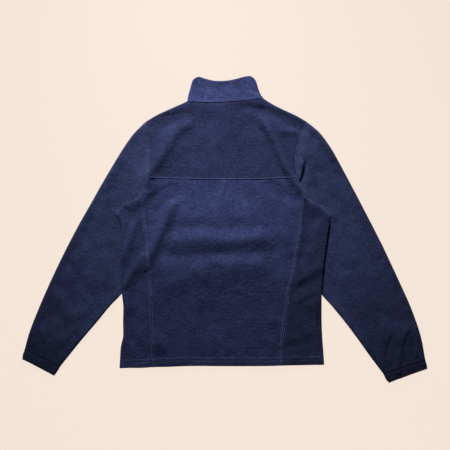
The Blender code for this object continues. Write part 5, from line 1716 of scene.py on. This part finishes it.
def floor_material(colour):
    """Pale floor that shines by itself, and darkens a little where something shades it."""
    material, tree, shader = new_material("Pale floor")
    grain = range_node(tree, noise_node(tree, object_place(tree), 300.0, 3.0), 0.3, 0.7, 0.97,
                       1.0)
    feed(tree, shader, {
        "Base Color": mix_node(tree, 1.0, grain, shade(colour, FLOOR_MATTE), "MULTIPLY"),
        "Roughness": 1.0, "Specular IOR Level": 0.0, "Emission Color": tuple(colour),
        "Emission Strength": FLOOR_GLOW})
    return material


# ---------------------------------------------------------------- stage

def lay_floor(stage):
    """Pale floor under the jacket."""
    bpy.ops.object.select_all(action="DESELECT")
    bpy.ops.mesh.primitive_plane_add(size=FLOOR_SIZE, location=(0, 0, -FLOOR_DROP))
    floor = bpy.context.object
    floor.name = "floor"
    bpy.ops.object.transform_apply(location=True, rotation=True, scale=True)
    floor.data.materials.append(floor_material(stage.floor))


def put_in_scene(name, data, location):
    """A light or camera at its place."""
    obj = bpy.data.objects.new(name, data)
    obj.location = location
    bpy.context.scene.collection.objects.link(obj)
    return obj


def place_camera(stage):
    """Camera that looks straight down."""
    data = bpy.data.cameras.new("camera")
    data.lens = CAMERA_LENS
    data.sensor_width = CAMERA_SENSOR
    data.clip_end = CAMERA_REACH
    place = (LOOK_AT[0], LOOK_AT[1], stage.camera_height)
    bpy.context.scene.camera = put_in_scene("camera", data, place)


def place_lights(stage):
    """Soft light from beyond the collar, and even light from all round."""
    data = bpy.data.lights.new("key", "AREA")
    data.shape = "DISK"
    data.size = stage.key_size
    data.energy = stage.key_power
    data.spread = stage.key_spread
    data.color = KEY_COLOUR
    key = put_in_scene("key", data, stage.key_place)
    aim = Vector(KEY_AIM) - key.location
    key.rotation_euler = aim.to_track_quat("-Z", "Y").to_euler()
    world = bpy.data.worlds.new("studio")
    world.use_nodes = True
    feed(world.node_tree, world.node_tree.nodes["Background"],
         {"Color": FILL_COLOUR, "Strength": stage.fill})
    bpy.context.scene.world = world


# ---------------------------------------------------------------- operators

class JACKET_OT_lay_stage(bpy.types.Operator):
    """Lay the pale floor and set the soft light and the camera"""

    bl_idname = "jacket.lay_stage"
    bl_label = "Lay Stage"

    def execute(self, context):
        stage = context.scene.jacket_stage
        lay_floor(stage)
        place_lights(stage)
        place_camera(stage)
        context.scene.view_settings.view_transform = "Standard"
        return {"FINISHED"}


class JACKET_OT_sew_back(bpy.types.Operator):
    """Sew the back yoke and the back panel"""

    bl_idname = "jacket.sew_back"
    bl_label = "Sew Back"

    def execute(self, context):
        sew_yoke()
        sew_back_panel()
        return {"FINISHED"}


class JACKET_OT_sew_sides(bpy.types.Operator):
    """Sew both side panels round the side folds"""

    bl_idname = "jacket.sew_sides"
    bl_label = "Sew Side Panels"

    def execute(self, context):
        for sign in BOTH_SIDES:
            sew_side_panel(sign)
        return {"FINISHED"}


class JACKET_OT_sew_fronts(bpy.types.Operator):
    """Sew both fronts, which lie on the surface"""

    bl_idname = "jacket.sew_fronts"
    bl_label = "Sew Fronts"

    def execute(self, context):
        for sign in BOTH_SIDES:
            sew_front(sign)
        return {"FINISHED"}


class JACKET_OT_sew_sleeves(bpy.types.Operator):
    """Sew both sleeves, flattened from armhole to cuff"""

    bl_idname = "jacket.sew_sleeves"
    bl_label = "Sew Sleeves"

    def execute(self, context):
        for sign in BOTH_SIDES:
            sew_sleeve(sign)
        return {"FINISHED"}


class JACKET_OT_gather_cuffs(bpy.types.Operator):
    """Gather both cuffs onto their elastic"""

    bl_idname = "jacket.gather_cuffs"
    bl_label = "Gather Cuffs"

    def execute(self, context):
        for sign in BOTH_SIDES:
            sew_cuff(sign)
        return {"FINISHED"}


class JACKET_OT_stand_collar(bpy.types.Operator):
    """Sew the stand collar, folded flat over itself"""

    bl_idname = "jacket.stand_collar"
    bl_label = "Sew Collar"

    def execute(self, context):
        sew_collar()
        return {"FINISHED"}


class JACKET_OT_topstitch(bpy.types.Operator):
    """Sew the rows of topstitching along the seams, the hem and the zip"""

    bl_idname = "jacket.topstitch"
    bl_label = "Topstitch"

    def execute(self, context):
        colour = tuple(context.scene.jacket_colours.thread)
        thread = thread_material("Navy thread", colour)
        sew_rows("topstitch_shown", shown_rows(), 1, thread)
        sew_rows("topstitch_hidden", hidden_rows(), -1, thread)
        # The armhole rows take the same thread darkened: painted shade.
        armhole_shaded_thread = thread_material("Navy thread with painted armhole shade", shade(colour, 0.68))
        sew_rows("topstitch_armholes",
                 sleeve_rows("armhole", "sleeve_outer", ARMHOLE_ROWS, 1.5), 1, armhole_shaded_thread)
        # The cuff rows take it darker still: painted shade.
        cuff_shaded_thread = thread_material("Navy thread with painted cuff shade", shade(colour, 0.25))
        offsets = [-row for row in CUFF_ROWS]
        sew_rows("topstitch_cuffs", sleeve_rows("cuff_seam", "cuff_outer", offsets, 3), 1, cuff_shaded_thread)
        return {"FINISHED"}


class JACKET_OT_fit_zip(bpy.types.Operator):
    """Fit the zip: woven tapes, coil teeth, slider and pull tab"""

    bl_idname = "jacket.fit_zip"
    bl_label = "Fit Zip"

    def execute(self, context):
        colours = context.scene.jacket_colours
        tape = thread_material("Navy zip tape", tuple(colours.tape), 1300.0, 0.85, 0.6)
        coil = thread_material("Navy coil", tuple(colours.tape), 4000.0, 0.35, 0.1)
        metal = lacquered_metal("Dark lacquered metal", tuple(colours.slider))
        for sign in BOTH_SIDES:
            fit_tape(sign, tape)
        coil_chain(coil)
        for node in ("zip_slider", "zip_pull_tab"):
            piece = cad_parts[node]
            piece.data.materials.clear()
            piece.data.materials.append(metal)
        return {"FINISHED"}


class JACKET_PT_sidebar(bpy.types.Panel):
    """Steps that sew the jacket, in order"""

    bl_label = "Fleece Zip Jacket"
    bl_idname = "JACKET_PT_sidebar"
    bl_space_type = "VIEW_3D"
    bl_region_type = "UI"
    bl_category = "Jacket"

    def draw(self, context):
        layout = self.layout
        for settings in SETTINGS:
            group = getattr(context.scene, settings)
            column = layout.column(align=True)
            for name in group.bl_rna.properties.keys():
                if name not in ("rna_type", "name"):
                    column.prop(group, name)
        for step in STEPS:
            layout.operator(step.bl_idname)


SETTINGS = {"jacket_colours": JacketColours, "jacket_sizes": JacketSizes,
            "jacket_stage": JacketStage}
STEPS = (JACKET_OT_lay_stage, JACKET_OT_sew_back, JACKET_OT_sew_sides, JACKET_OT_sew_fronts,
         JACKET_OT_sew_sleeves, JACKET_OT_gather_cuffs, JACKET_OT_stand_collar,
         JACKET_OT_topstitch, JACKET_OT_fit_zip)
CLASSES = (*SETTINGS.values(), *STEPS, JACKET_PT_sidebar)


def register():
    """Adds the jacket's settings, steps and panel to Blender."""
    for cls in CLASSES:
        bpy.utils.register_class(cls)
    for name, group in SETTINGS.items():
        setattr(bpy.types.Scene, name, bpy.props.PointerProperty(type=group))


def unregister():
    """Takes them out again."""
    for name in SETTINGS:
        delattr(bpy.types.Scene, name)
    for cls in reversed(CLASSES):
        bpy.utils.unregister_class(cls)


def main():
    """Sews the whole jacket."""
    register()
    bpy.ops.jacket.lay_stage()
    bpy.ops.jacket.sew_back()
    bpy.ops.jacket.sew_sides()
    bpy.ops.jacket.sew_fronts()
    bpy.ops.jacket.sew_sleeves()
    bpy.ops.jacket.gather_cuffs()
    bpy.ops.jacket.stand_collar()
    bpy.ops.jacket.topstitch()
    bpy.ops.jacket.fit_zip()


if __name__ == "__main__":
    main()
